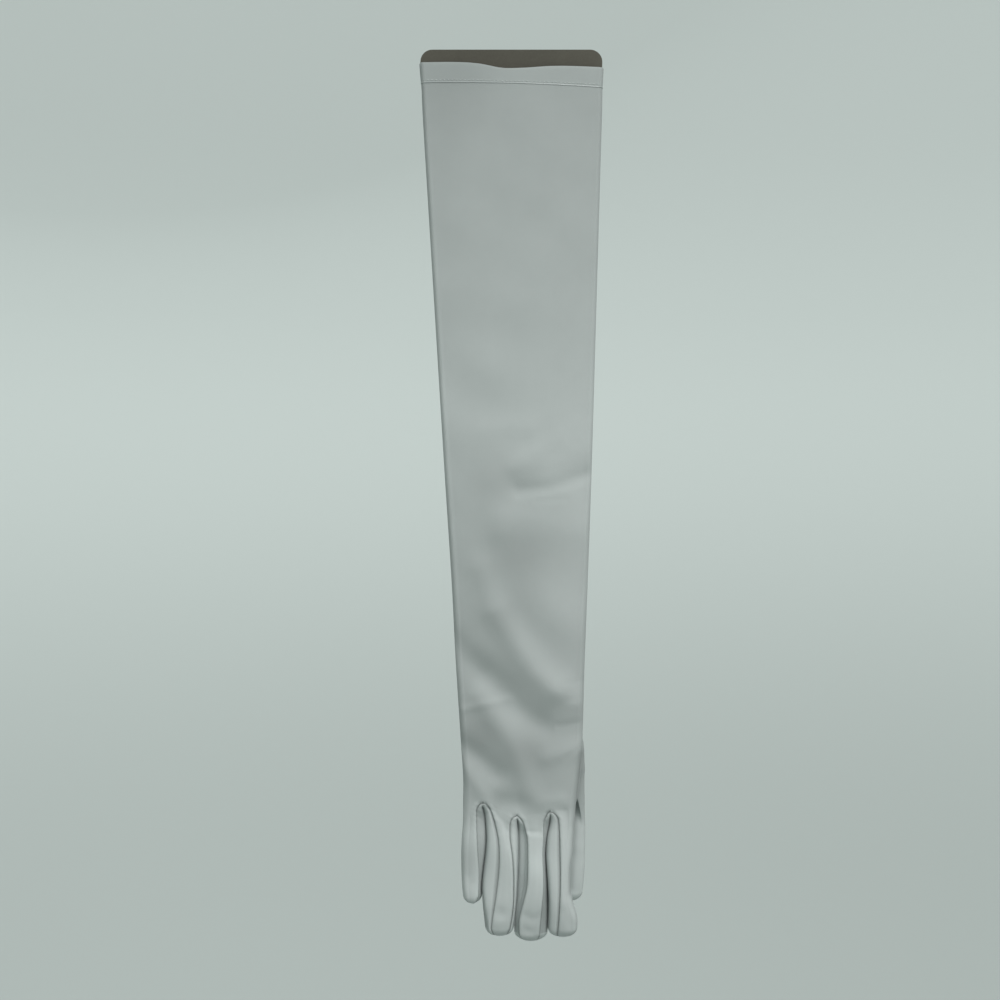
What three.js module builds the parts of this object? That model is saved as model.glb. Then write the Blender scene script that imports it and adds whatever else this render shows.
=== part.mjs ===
import * as THREE from "three";

// Long satin bridal glove for the right hand, with the card that stiffens its arm.
// Millimetres. X runs across the hand, from the little finger to the index finger.
// Z runs up the arm, and +Y is the palm side. The fingers point down.
// The origin is the middle of the arm opening, at the top of the hem.

// Cloth and seams
const clothWall = 1.2;
const hemWall = 1.4;
const seamGap = 0.3;
const thumbSeamGap = 0.5;

// Levels down the arm
const hemDepth = 13;
const cardStretchEnd = -250;
const knuckleLevel = -466;
const knuckleBlend = 40;
const hemBlend = 40;
const stripsBegin = -300;

// How many rows of facets each stretch has
const hemRows = 2;
const cardRows = 10;
const handRows = 20;

// Slots round the arm: the front panel, the right fold, the back panel and the left fold
const fingerCount = 4;
const stripSteps = 4;
const panelSteps = fingerCount * stripSteps;
const foldSteps = 4;
const rightFoldStart = panelSteps;
const backStart = panelSteps + foldSteps;
const leftFoldStart = backStart + panelSteps;
const ringSlots = leftFoldStart + foldSteps;

// Sections of the arm and hand: left and right outline, the radius of the folded edge,
// and how far the front and the back swell past that radius in the middle
const armSections = [
  { z: 0, left: -57.8, right: 57.8, edge: 3.4, front: 4.2, back: 0.3 },
  { z: -130, left: -49.8, right: 54.0, edge: 3.4, front: 5.0, back: 0.3 },
  { z: -260, left: -41.8, right: 50.2, edge: 3.6, front: 5.0, back: 1.5 },
  { z: -325, left: -37.6, right: 47.9, edge: 4.0, front: 5.0, back: 3.0 },
  { z: -375, left: -35.0, right: 46.0, edge: 4.2, front: 4.2, back: 3.0 },
  { z: -425, left: -31.8, right: 44.4, edge: 4.4, front: 3.0, back: 2.0 },
  { z: -448, left: -30.4, right: 42.2, edge: 4.6, front: 1.8, back: 1.2 },
  { z: -466, left: -30.4, right: 40.3, edge: 4.6, front: 0.9, back: 0.7 },
];

// Where the rim of the hem lies, and the line that ends the hem, across the arm
const rimLine = [
  { x: -57.8, z: 1.2 },
  { x: -32, z: 0.3 },
  { x: -20, z: -0.9 },
  { x: -6, z: -3.7 },
  { x: 6, z: -3.7 },
  { x: 27, z: -2.2 },
  { x: 57.8, z: -1.9 },
];
const hemLine = [
  { x: -57.8, z: -11.3 },
  { x: -20, z: -12.5 },
  { x: 30, z: -13.8 },
  { x: 57.8, z: -14.4 },
];

// Where the fingers part from the hand, and the share of the panel's width at each gap
const knuckleLine = [
  { x: -30.4, z: -464 },
  { x: -17.9, z: -462.9 },
  { x: 3.4, z: -470.9 },
  { x: 24.1, z: -468.4 },
  { x: 40.3, z: -466 },
];
const knuckleShares = [0, 0.128, 0.474, 0.81, 1];

// Folds of the hanging cloth: a ridge or, with a negative height, a valley, along a line of x and z
const frontFolds = [
  { width: 7, height: 0.6, line: [[29, -236], [14, -244], [2, -253]] },
  { width: 8, height: 0.6, line: [[8, -252], [26, -249], [46, -243]] },
  { width: 7, height: -1, line: [[4, -267], [24, -265.5], [48, -257]] },
  { width: 12, height: 1.1, line: [[-4, -286], [20, -288], [42, -292]] },
  { width: 9, height: 2, line: [[-28, -326], [-13, -349], [6, -376], [22, -393], [38, -400]] },
  { width: 9, height: -1.7, line: [[-36, -358], [-24, -364], [-6, -388], [12, -409], [28, -418]] },
  { width: 8, height: -0.9, line: [[34, -418], [44, -417]] },
  { width: 7, height: 1.1, line: [[-20, -396], [-1, -424], [7, -443], [12, -456]] },
  { width: 7, height: -1.4, line: [[-29, -428], [-19, -435], [-10, -444]] },
  { width: 6, height: 0.7, line: [[22, -434], [43, -429]] },
];
const backFolds = [
  { width: 12, height: 0.8, line: [[-34, -268], [0, -262], [36, -266]] },
  { width: 12, height: 1.4, line: [[24, -314], [4, -346], [-20, -374]] },
  { width: 10, height: -1.3, line: [[28, -342], [8, -374], [-12, -400]] },
  { width: 10, height: 0.8, line: [[-28, -428], [8, -406]] },
];
const foldFade = 6;

// Gaps between fingers: the top of the seam arch, and the top of the slit below it
const gaps = [
  { name: "fourchette_little_ring", archX: -17.9, slitX: -18.4, slitZ: -465.3 },
  { name: "fourchette_ring_middle", archX: 3.4, slitX: 3.6, slitZ: -473.1 },
  { name: "fourchette_middle_index", archX: 24.1, slitX: 24.1, slitZ: -470.4 },
];
const archHeight = 6;
const slitHeight = 6;
const fourchetteWidth = 9.5;
const leastOnPalm = 1.2;
const mostOnPalm = 5;

// Fingers from the little finger to the index finger. edgeL and edgeR are the outline, seamL and
// seamR the sides of the front panel, depth is half the thickness, and tip is the lowest point.
const fingers = [
  {
    tip: -526.2,
    depth: 5.3,
    sections: [
      { z: -466, edgeL: -30.4, seamL: -25.8, seamR: -21.8, edgeR: -18.3 },
      { z: -475, edgeL: -30.5, seamL: -25.9, seamR: -21.7, edgeR: -16.8 },
      { z: -485, edgeL: -31.2, seamL: -26.5, seamR: -21.3, edgeR: -16.15 },
      { z: -495, edgeL: -31.6, seamL: -26.9, seamR: -20.8, edgeR: -16.8 },
      { z: -505, edgeL: -31.5, seamL: -26.9, seamR: -20.1, edgeR: -18.1 },
      { z: -515, edgeL: -31.1, seamL: -26.6, seamR: -20.2, edgeR: -19.0 },
      { z: -520.2, edgeL: -30.6, seamL: -26.2, seamR: -20.4, edgeR: -18.8 },
    ],
  },
  {
    tip: -546.6,
    depth: 5.6,
    sections: [
      { z: -466, edgeL: -16.6, seamL: -13.6, seamR: -1.2, edgeR: 3.2 },
      { z: -470.5, edgeL: -16.2, seamL: -12.2, seamR: -1, edgeR: 3.5 },
      { z: -475, edgeL: -15.9, seamL: -10.8, seamR: -0.9, edgeR: 3.7 },
      { z: -485, edgeL: -15.3, seamL: -8.6, seamR: -0.75, edgeR: 4.1 },
      { z: -495, edgeL: -15.9, seamL: -7.9, seamR: 0.6, edgeR: 4.1 },
      { z: -505, edgeL: -17.2, seamL: -8.2, seamR: 1.25, edgeR: 3.85 },
      { z: -515, edgeL: -18.1, seamL: -9.25, seamR: 1.4, edgeR: 3.35 },
      { z: -525, edgeL: -17.6, seamL: -10.6, seamR: 1.2, edgeR: 2.7 },
      { z: -535, edgeL: -15.9, seamL: -12.2, seamR: 0.1, edgeR: 1.7 },
      { z: -540.6, edgeL: -14.8, seamL: -12.9, seamR: -0.9, edgeR: 0.9 },
    ],
  },
  {
    tip: -550,
    depth: 5.7,
    sections: [
      { z: -471, edgeL: 4.2, seamL: 6, seamR: 21.3, edgeR: 24 },
      { z: -475, edgeL: 4.5, seamL: 7.2, seamR: 20.4, edgeR: 23.7 },
      { z: -485, edgeL: 4.9, seamL: 9.6, seamR: 20.3, edgeR: 21.9 },
      { z: -495, edgeL: 4.9, seamL: 9.9, seamR: 19.8, edgeR: 21.2 },
      { z: -505, edgeL: 4.65, seamL: 9.9, seamR: 20.1, edgeR: 21.7 },
      { z: -515, edgeL: 4.15, seamL: 9.25, seamR: 20.2, edgeR: 22.3 },
      { z: -525, edgeL: 3.5, seamL: 6.9, seamR: 19.4, edgeR: 22.7 },
      { z: -535, edgeL: 2.5, seamL: 4.6, seamR: 18.4, edgeR: 22.6 },
      { z: -544, edgeL: 2.6, seamL: 4.5, seamR: 17.6, edgeR: 22.0 },
    ],
  },
  {
    tip: -547.3,
    depth: 5.6,
    sections: [
      { z: -466, edgeL: 24.8, seamL: 28.9, seamR: 35.7, edgeR: 40.3 },
      { z: -475, edgeL: 24.5, seamL: 29.4, seamR: 35.2, edgeR: 39.7 },
      { z: -485, edgeL: 22.7, seamL: 29.9, seamR: 34.6, edgeR: 39.0 },
      { z: -495, edgeL: 22.0, seamL: 30.1, seamR: 34.2, edgeR: 38.6 },
      { z: -505, edgeL: 22.5, seamL: 30.3, seamR: 33.6, edgeR: 37.0 },
      { z: -515, edgeL: 23.1, seamL: 30.2, seamR: 33.4, edgeR: 37.0 },
      { z: -525, edgeL: 23.5, seamL: 29.8, seamR: 34.6, edgeR: 38.6 },
      { z: -535, edgeL: 23.4, seamL: 29.3, seamR: 37, edgeR: 41.4 },
      { z: -541.3, edgeL: 23.3, seamL: 28.8, seamR: 37.2, edgeR: 41.4 },
    ],
  },
];

// Slots round a finger: its front, its right side, its palm side and its left side
const rightSideStart = stripSteps;
const palmStart = rightSideStart + foldSteps;
const leftSideStart = palmStart + stripSteps;
const sideMiddle = foldSteps / 2;
const fingerRows = [0.02, 0.06, 0.12, 0.2, 0.32, 0.46, 0.6, 0.74, 0.88, 1];
const fingerBlend = 10;
const taper = 0.08;
const seamShoulder = 0.8;
const foldShoulder = 0.88;
const tipHeight = 6;
const tipRows = [0.45, 0.8, 1];

// The thumb hangs from a hole in the palm side, between two levels and two slots of the hand
const thumbHole = { firstRow: 28, lastRow: 31, firstSlot: 18, lastSlot: 25 };
const thumbSections = [
  { z: -465, left: 27.5, right: 46.4, front: 6.4, back: 15.8 },
  { z: -480, left: 28.5, right: 47.0, front: 6.4, back: 15.8 },
  { z: -500, left: 29.0, right: 46.8, front: 6.4, back: 15.2 },
  { z: -515, left: 29.8, right: 46.0, front: 6.5, back: 14.6 },
  { z: -521.5, left: 30.6, right: 45.4, front: 6.7, back: 14.2 },
];
const thumbTip = -527.5;
const thumbLoft = [0.12, 0.3, 0.5, 0.75, 1];
const thumbRows = [0.2, 0.4, 0.6, 0.8, 1];
const thumbPush = {
  outTop: 19,
  outBottom: 4,
  side: 12,
  sideFall: 4,
  downTop: 40,
  downBottom: 4,
  endTop: 32,
  endBottom: 8,
};
const thumbRoundness = 0.8;
const creaseLift = 0.2;

// The least cosine at a seam, which keeps the wall from growing too thick in a sharp bend
const mitreLimit = 0.6;

// The card: straight sides inside the arm, and rounded corners above the hem
const card = {
  top: 10,
  bottom: -259,
  taperLevel: -260,
  corner: 8,
  cornerSteps: 6,
  thick: 1,
  clearance: 0.5,
};

const { lerp, smoothstep, clamp, degToRad } = THREE.MathUtils;

// Value of one column of a table, on a smooth curve through its rows
function readTable(table, key, at, name) {
  const order = Math.sign(table[1][key] - table[0][key]);
  const last = table.length - 1;
  if (order * (at - table[0][key]) <= 0) return table[0][name];
  if (order * (at - table[last][key]) >= 0) return table[last][name];
  let i = 0;
  while (order * (at - table[i + 1][key]) > 0) i += 1;
  const slope = (j) => {
    const before = table[Math.max(j - 1, 0)];
    const after = table[Math.min(j + 1, last)];
    return (after[name] - before[name]) / (after[key] - before[key]);
  };
  const span = table[i + 1][key] - table[i][key];
  const t = (at - table[i][key]) / span;
  return hermite(table[i][name], slope(i) * span, table[i + 1][name], slope(i + 1) * span, t);
}

function hermite(start, startSlope, end, endSlope, t) {
  const t2 = t * t;
  const t3 = t2 * t;
  const startPart = (2 * t3 - 3 * t2 + 1) * start + (t3 - 2 * t2 + t) * startSlope;
  return startPart + (3 * t2 - 2 * t3) * end + (t3 - t2) * endSlope;
}

// A quarter of a round arch: 0 at its top, 1 where its side runs straight down
function arch(t) {
  const part = clamp(t, 0, 1);
  return Math.sqrt(part * (2 - part));
}

function foldHeight(folds, x, z) {
  let total = 0;
  for (const { width, height, line } of folds) {
    let away = Infinity;
    for (let i = 0; i + 1 < line.length; i += 1) {
      const [x1, z1] = line[i];
      const dx = line[i + 1][0] - x1;
      const dz = line[i + 1][1] - z1;
      const along = clamp(((x - x1) * dx + (z - z1) * dz) / (dx * dx + dz * dz), 0, 1);
      away = Math.min(away, Math.hypot(x - x1 - along * dx, z - z1 - along * dz));
    }
    total += height * Math.exp(-((away / width) ** 2));
  }
  return total;
}

// Share of the panel's width at one of its columns: even strips on the arm, finger strips at the knuckles
function stripShare(columnIndex, level) {
  const strip = Math.min(Math.floor(columnIndex / stripSteps), fingerCount - 1);
  const within = columnIndex / stripSteps - strip;
  const turn = smoothstep(stripsBegin - level, 0, stripsBegin - knuckleLevel);
  const start = lerp(strip / fingerCount, knuckleShares[strip], turn);
  const end = lerp((strip + 1) / fingerCount, knuckleShares[strip + 1], turn);
  return lerp(start, end, within);
}

// How far a point lies above or below its level, near the rim and near the knuckles
function levelShift(x, level) {
  const hemShift = readTable(hemLine, "x", x, "z") + hemDepth;
  if (level > -hemDepth) return lerp(readTable(rimLine, "x", x, "z"), hemShift, -level / hemDepth);
  const hemPart = 1 - smoothstep(-hemDepth - level, 0, hemBlend);
  const knucklePart = smoothstep(knuckleLevel + knuckleBlend - level, 0, knuckleBlend);
  const knuckleShift = readTable(knuckleLine, "x", x, "z") - knuckleLevel;
  return hemPart * hemShift + knucklePart * knuckleShift;
}

// One point of the arm or hand, at a slot round it
function armPoint(slot, level) {
  const at = (name) => readTable(armSections, "z", level, name);
  const left = at("left");
  const right = at("right");
  const edge = at("edge");
  let x;
  let y;
  if (slot <= rightFoldStart || (slot >= backStart && slot <= leftFoldStart)) {
    const isFront = slot <= rightFoldStart;
    const share = stripShare(isFront ? slot : leftFoldStart - slot, level);
    const across = 2 * share - 1;
    x = lerp(left + edge, right - edge, share);
    const fold = foldHeight(isFront ? frontFolds : backFolds, x, level) * (1 - across ** foldFade);
    const swell = at(isFront ? "front" : "back") * (1 - across * across);
    y = (edge + swell + fold) * (isFront ? -1 : 1);
  } else {
    const isRight = slot < backStart;
    const step = isRight ? slot - rightFoldStart : slot - leftFoldStart;
    const angle = degToRad((step / foldSteps) * 180 + (isRight ? -90 : 90));
    x = (isRight ? right - edge : left + edge) + edge * Math.cos(angle);
    y = edge * Math.sin(angle);
  }
  return new THREE.Vector3(x, y, level + levelShift(x, level));
}

// The whole outer surface of the glove, as shared points and four-sided faces, each with its piece
const skin = { points: [], faces: [] };

function addPoint(point) {
  skin.points.push(point);
  return skin.points.length - 1;
}

function addBand(upper, lower, pieceOf) {
  for (let i = 0; i < upper.length; i += 1) {
    const next = (i + 1) % upper.length;
    const piece = pieceOf(i);
    if (piece) skin.faces.push({ piece, corners: [upper[i], lower[i], lower[next], upper[next]] });
  }
}

function makeArm() {
  const levels = [];
  for (let i = 0; i <= hemRows; i += 1) levels.push((-hemDepth * i) / hemRows);
  for (let i = 1; i <= cardRows; i += 1) levels.push(lerp(-hemDepth, cardStretchEnd, i / cardRows));
  for (let i = 1; i <= handRows; i += 1) levels.push(lerp(cardStretchEnd, knuckleLevel, i / handRows));
  const rings = levels.map((level) => {
    const ring = [];
    for (let slot = 0; slot < ringSlots; slot += 1) ring.push(addPoint(armPoint(slot, level)));
    return ring;
  });
  for (let row = 0; row + 1 < rings.length; row += 1) {
    const inHoleRows = row >= thumbHole.firstRow && row < thumbHole.lastRow;
    addBand(rings[row], rings[row + 1], (slot) => {
      if (row < hemRows) return "hem";
      const inHole = inHoleRows && slot >= thumbHole.firstSlot && slot < thumbHole.lastSlot;
      return inHole ? null : "trank";
    });
  }
  return rings;
}

// The line over the crotch of each gap, from the back of the hand to the palm
function makeCrowns(knuckles) {
  return gaps.map((gap, i) => {
    const columnIndex = (i + 1) * stripSteps;
    const front = skin.points[knuckles[columnIndex]];
    const back = skin.points[knuckles[leftFoldStart - columnIndex]];
    const crown = [knuckles[columnIndex]];
    for (let step = 1; step < foldSteps; step += 1) {
      const angle = degToRad((step / foldSteps) * 180 - 90);
      const end = angle < 0 ? front : back;
      const inward = Math.cos(angle);
      const x = lerp(end.x, gap.slitX, inward);
      const z = lerp(end.z, gap.slitZ, inward);
      crown.push(addPoint(new THREE.Vector3(x, Math.abs(Math.sin(angle)) * end.y, z)));
    }
    crown.push(knuckles[leftFoldStart - columnIndex]);
    return crown;
  });
}

// Outline and seams of one side of a finger: side is -1 on its left and 1 on its right
function sideOfFinger(index, side) {
  const letter = side < 0 ? "L" : "R";
  const gap = gaps[side < 0 ? index - 1 : index];
  const { sections } = fingers[index];
  const edgeAt = (z) => readTable(sections, "z", z, `edge${letter}`);
  const seamAt = (z) => readTable(sections, "z", z, `seam${letter}`);
  if (!gap) return { edgeAt, seamAt, palmSeamAt: seamAt, shoulder: foldShoulder };
  const archZ = readTable(knuckleLine, "x", gap.archX, "z");
  const fromArch = (x, z) => lerp(gap.archX, x, arch((archZ - z) / archHeight));
  return {
    edgeAt: (z) => lerp(gap.slitX, edgeAt(z), arch((gap.slitZ - z) / slitHeight)),
    seamAt: (z) => fromArch(seamAt(z), z),
    palmSeamAt: (z) => {
      const onBack = Math.abs(seamAt(z) - edgeAt(z));
      const onPalm = clamp(fourchetteWidth - onBack, leastOnPalm, mostOnPalm);
      return fromArch(edgeAt(z) - side * onPalm, z);
    },
    shoulder: seamShoulder,
  };
}

// One ring of a finger, below the ring of points where it leaves the hand
function fingerRing(index, top, v) {
  const finger = fingers[index];
  const tipStart = finger.tip + tipHeight;
  const left = sideOfFinger(index, -1);
  const right = sideOfFinger(index, 1);
  const levels = top.map((point) => lerp(point.z, tipStart, v));
  const depth = finger.depth * (1 - taper * v);
  return top.map((point, slot) => {
    const isFront = slot <= rightSideStart;
    const isPalm = slot >= palmStart && slot <= leftSideStart;
    let x;
    let y;
    if (isFront || isPalm) {
      const share = (isFront ? slot : leftSideStart - slot) / stripSteps;
      const across = 2 * share - 1;
      const leftX = isFront ? left.seamAt(levels[0]) : left.palmSeamAt(levels[leftSideStart]);
      const rightX = isFront ? right.seamAt(levels[rightSideStart]) : right.palmSeamAt(levels[palmStart]);
      const shoulder = lerp(left.shoulder, right.shoulder, share);
      x = lerp(leftX, rightX, share);
      y = depth * lerp(1, shoulder, across * across) * (isFront ? -1 : 1);
    } else {
      const isRight = slot < palmStart;
      const side = isRight ? right : left;
      const sideStart = isRight ? rightSideStart : leftSideStart;
      const angle = degToRad(((slot - sideStart) / foldSteps) * 180 - 90) * (isRight ? 1 : -1);
      const edgeX = side.edgeAt(levels[sideStart + sideMiddle]);
      const frontX = side.seamAt(levels[isRight ? rightSideStart : 0]);
      const palmX = side.palmSeamAt(levels[isRight ? palmStart : leftSideStart]);
      x = lerp(angle < 0 ? frontX : palmX, edgeX, Math.cos(angle));
      y = depth * side.shoulder * Math.sin(angle);
    }
    const below = point.z - levels[slot];
    return new THREE.Vector3(x, lerp(point.y, y, smoothstep(below, 0, fingerBlend)), levels[slot]);
  });
}

// The round end of a finger or thumb: its front and back close on each other in one line
function closeTip(lastRing, height, mirror, pieceOf) {
  const points = lastRing.map((id) => skin.points[id]);
  const slots = points.length;
  const partner = (slot) => (mirror - slot + slots) % slots;
  const xs = points.map((point) => point.x);
  const middle = (Math.min(...xs) + Math.max(...xs)) / 2;
  const half = (Math.max(...xs) - Math.min(...xs)) / 2;
  const depthMiddle = points.reduce((sum, point) => sum + point.y, 0) / slots;
  let upper = lastRing;
  for (const t of tipRows) {
    const lower = [];
    for (let slot = 0; slot < slots; slot += 1) {
      const meets = t === 1 && partner(slot) < slot;
      if (meets) {
        lower.push(lower[partner(slot)]);
        continue;
      }
      const own = (points[slot].x - middle) / half;
      const other = (points[partner(slot)].x - middle) / half;
      const across = lerp(own, (own + other) / 2, t);
      const x = middle + half * across * Math.sqrt(1 - (t * t) / 2);
      const y = depthMiddle + (points[slot].y - depthMiddle) * Math.sqrt(1 - t * t);
      const z = points[slot].z - height * t * Math.sqrt(1 - (across * across) / 2);
      lower.push(addPoint(new THREE.Vector3(x, y, z)));
    }
    addBand(upper, lower, pieceOf);
    upper = lower;
  }
}

function makeFinger(index, knuckles, crowns) {
  const frontStart = index * stripSteps;
  const top = [];
  for (let i = 0; i <= stripSteps; i += 1) top.push(knuckles[frontStart + i]);
  for (let i = 1; i < foldSteps; i += 1) {
    top.push(index < gaps.length ? crowns[index][i] : knuckles[rightFoldStart + i]);
  }
  for (let i = stripSteps; i >= 0; i -= 1) top.push(knuckles[leftFoldStart - frontStart - i]);
  for (let i = foldSteps - 1; i > 0; i -= 1) {
    top.push(index > 0 ? crowns[index - 1][i] : knuckles[ringSlots - i]);
  }
  const pieceOf = (slot) => {
    if (slot >= rightSideStart && slot < palmStart && index < gaps.length) return gaps[index].name;
    if (slot >= leftSideStart && index > 0) return gaps[index - 1].name;
    return "trank";
  };
  const topPoints = top.map((id) => skin.points[id]);
  let upper = top;
  for (const v of fingerRows) {
    const lower = fingerRing(index, topPoints, v).map(addPoint);
    addBand(upper, lower, pieceOf);
    upper = lower;
  }
  closeTip(upper, tipHeight, leftSideStart, pieceOf);
}

// Angle of each slot round the thumb, in quarter turns: wide sides to the hand and away from it,
// and narrow sides between them
function thumbQuarters(slot, wide, narrow) {
  const half = wide + narrow;
  const turn = slot >= half ? 2 : 0;
  const step = slot % half;
  return turn + (step < wide ? step / wide - 1.5 : (step - wide) / narrow - 0.5);
}

function thumbPoint(slot, z, wide, narrow) {
  const at = (name) => readTable(thumbSections, "z", z, name);
  const angle = (thumbQuarters(slot, wide, narrow) * Math.PI) / 2;
  const bulge = (value) => Math.sign(value) * Math.abs(value) ** thumbRoundness;
  const x = lerp(at("left"), at("right"), 0.5 + 0.5 * bulge(Math.cos(angle)));
  const y = lerp(at("front"), at("back"), 0.5 + 0.5 * bulge(Math.sin(angle)));
  return new THREE.Vector3(x, y, z);
}

function makeThumb(rings) {
  const { firstRow, lastRow, firstSlot, lastSlot } = thumbHole;
  const wide = lastSlot - firstSlot;
  const narrow = lastRow - firstRow;
  const loop = [];
  for (let i = 0; i < wide; i += 1) loop.push(rings[lastRow][lastSlot - i]);
  for (let i = 0; i < narrow; i += 1) loop.push(rings[lastRow - i][firstSlot]);
  for (let i = 0; i < wide; i += 1) loop.push(rings[firstRow][firstSlot + i]);
  for (let i = 0; i < narrow; i += 1) loop.push(rings[firstRow + i][lastSlot]);
  const startZ = thumbSections[0].z;
  const tipStart = thumbTip + tipHeight;
  const topZ = skin.points[rings[firstRow][lastSlot]].z;
  const bottomZ = skin.points[rings[lastRow][lastSlot]].z;
  const rightX = skin.points[rings[firstRow][firstSlot]].x;
  const leftX = skin.points[rings[firstRow][lastSlot]].x;
  let upper = loop;
  for (const w of thumbLoft) {
    const lower = loop.map((id, slot) => {
      const from = skin.points[id];
      const to = thumbPoint(slot, startZ, wide, narrow);
      const high = clamp((from.z - bottomZ) / (topZ - bottomZ), 0, 1);
      const outer = clamp((from.x - leftX) / (rightX - leftX), 0, 1);
      const down = lerp(thumbPush.downBottom, thumbPush.downTop, high);
      const x = hermite(from.x, thumbPush.side * outer ** thumbPush.sideFall, to.x, 0, w);
      const out = lerp(thumbPush.outBottom, thumbPush.outTop, high);
      const end = lerp(thumbPush.endBottom, thumbPush.endTop, high);
      const y = hermite(from.y, out, to.y, 0, w);
      const z = hermite(from.z, -down, to.z, -end, w);
      return addPoint(new THREE.Vector3(x, y, z));
    });
    addBand(upper, lower, () => "thumb");
    upper = lower;
  }
  for (const v of thumbRows) {
    const z = lerp(startZ, tipStart, v);
    const lower = loop.map((id, slot) => addPoint(thumbPoint(slot, z, wide, narrow)));
    addBand(upper, lower, () => "thumb");
    upper = lower;
  }
  closeTip(upper, tipHeight, 2 * wide + narrow, () => "thumb");
}

// Mean normal of a piece at each of its points
function pieceNormals(faces) {
  const normals = new Map();
  for (const { corners } of faces) {
    const [a, b, c, d] = corners.map((id) => skin.points[id]);
    const across = new THREE.Vector3().subVectors(c, a);
    const other = new THREE.Vector3().subVectors(d, b);
    const normal = across.cross(other).normalize();
    for (const id of corners) {
      if (!normals.has(id)) normals.set(id, new THREE.Vector3());
      normals.get(id).add(normal);
    }
  }
  for (const normal of normals.values()) normal.normalize();
  return normals;
}

// Edges that only one face of the piece uses, in that face's direction
function borderEdges(faces) {
  const edges = new Map();
  for (const { corners } of faces) {
    corners.forEach((from, i) => {
      const to = corners[(i + 1) % 4];
      const back = `${to} ${from}`;
      if (edges.has(back)) edges.delete(back);
      else edges.set(`${from} ${to}`, [from, to]);
    });
  }
  return [...edges.values()];
}

// Direction from each border point into the piece, square to the border there
function inwardFromBorder(faces, border) {
  const onBorder = new Set(border.flat());
  const borderPairs = new Set(border.flatMap(([a, b]) => [`${a} ${b}`, `${b} ${a}`]));
  const inward = new Map();
  const along = new Map([...onBorder].map((id) => [id, new THREE.Vector3()]));
  for (const [from, to] of border) {
    const way = new THREE.Vector3().subVectors(skin.points[to], skin.points[from]).normalize();
    along.get(from).add(way);
    along.get(to).add(way);
  }
  for (const { corners } of faces) {
    corners.forEach((from, i) => {
      for (const to of [corners[(i + 1) % 4], corners[(i + 3) % 4]]) {
        if (!onBorder.has(from) || borderPairs.has(`${from} ${to}`)) continue;
        if (!inward.has(from)) inward.set(from, new THREE.Vector3());
        const way = new THREE.Vector3().subVectors(skin.points[to], skin.points[from]);
        inward.get(from).add(way.normalize());
      }
    });
  }
  for (const [id, way] of inward) {
    const tangent = along.get(id).normalize();
    way.addScaledVector(tangent, -way.dot(tangent)).normalize();
  }
  return inward;
}

// One closed wall of cloth: the piece's part of the skin, the same moved inward, and the cut edges
function thicken(faces, wall, gap, normals, sharedNormals, shared) {
  const border = borderEdges(faces);
  const inward = inwardFromBorder(faces, border);
  const ids = [...normals.keys()];
  const place = new Map(ids.map((id, i) => [id, i]));
  const outer = [];
  const inner = [];
  for (const id of ids) {
    const point = skin.points[id].clone();
    if (gap > 0 && shared.has(id) && inward.has(id)) point.addScaledVector(inward.get(id), gap);
    const mitre = sharedNormals.get(id);
    const reach = wall / clamp(mitre.dot(normals.get(id)), mitreLimit, 1);
    outer.push(point);
    inner.push(point.clone().addScaledVector(mitre, -reach));
  }
  const points = [...outer, ...inner];
  const index = [];
  const half = ids.length;
  for (const { corners } of faces) {
    const [a, b, c, d] = corners.map((id) => place.get(id));
    const useFirst = points[a].distanceTo(points[c]) <= points[b].distanceTo(points[d]);
    const triangles = useFirst ? [[a, b, c], [a, c, d]] : [[a, b, d], [b, c, d]];
    for (const [p, q, r] of triangles) index.push(p, q, r, half + p, half + r, half + q);
  }
  for (const [from, to] of border) {
    const a = place.get(from);
    const b = place.get(to);
    index.push(b, a, half + a, b, half + a, half + b);
  }
  const geometry = new THREE.BufferGeometry().setFromPoints(points);
  geometry.setIndex(index);
  geometry.computeVertexNormals();
  return geometry;
}

function makeCardGeometry() {
  const inset = hemWall + card.clearance;
  const sideX = (name, z) => {
    const topX = readTable(armSections, "z", 0, name);
    const lowX = readTable(armSections, "z", card.taperLevel, name);
    return lerp(topX, lowX, z / card.taperLevel) + (name === "left" ? inset : -inset);
  };
  const shape = new THREE.Shape();
  const { top, bottom, corner } = card;
  shape.moveTo(sideX("left", bottom), bottom);
  shape.lineTo(sideX("right", bottom), bottom);
  shape.lineTo(sideX("right", top - corner), top - corner);
  shape.quadraticCurveTo(sideX("right", top), top, sideX("right", top) - corner, top);
  shape.lineTo(sideX("left", top) + corner, top);
  shape.quadraticCurveTo(sideX("left", top), top, sideX("left", top - corner), top - corner);
  shape.closePath();
  const settings = { depth: card.thick, bevelEnabled: false, curveSegments: card.cornerSteps };
  const geometry = new THREE.ExtrudeGeometry(shape, settings);
  geometry.translate(0, 0, -card.thick / 2);
  geometry.rotateX(Math.PI / 2);
  return geometry;
}

const satin = new THREE.MeshStandardMaterial({ color: 0xe4e2da, roughness: 0.45, metalness: 0 });
const hemSatin = new THREE.MeshStandardMaterial({ color: 0xeceae3, roughness: 0.45, metalness: 0 });
const cardboard = new THREE.MeshStandardMaterial({ color: 0x5a554b, roughness: 0.85, metalness: 0 });

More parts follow.
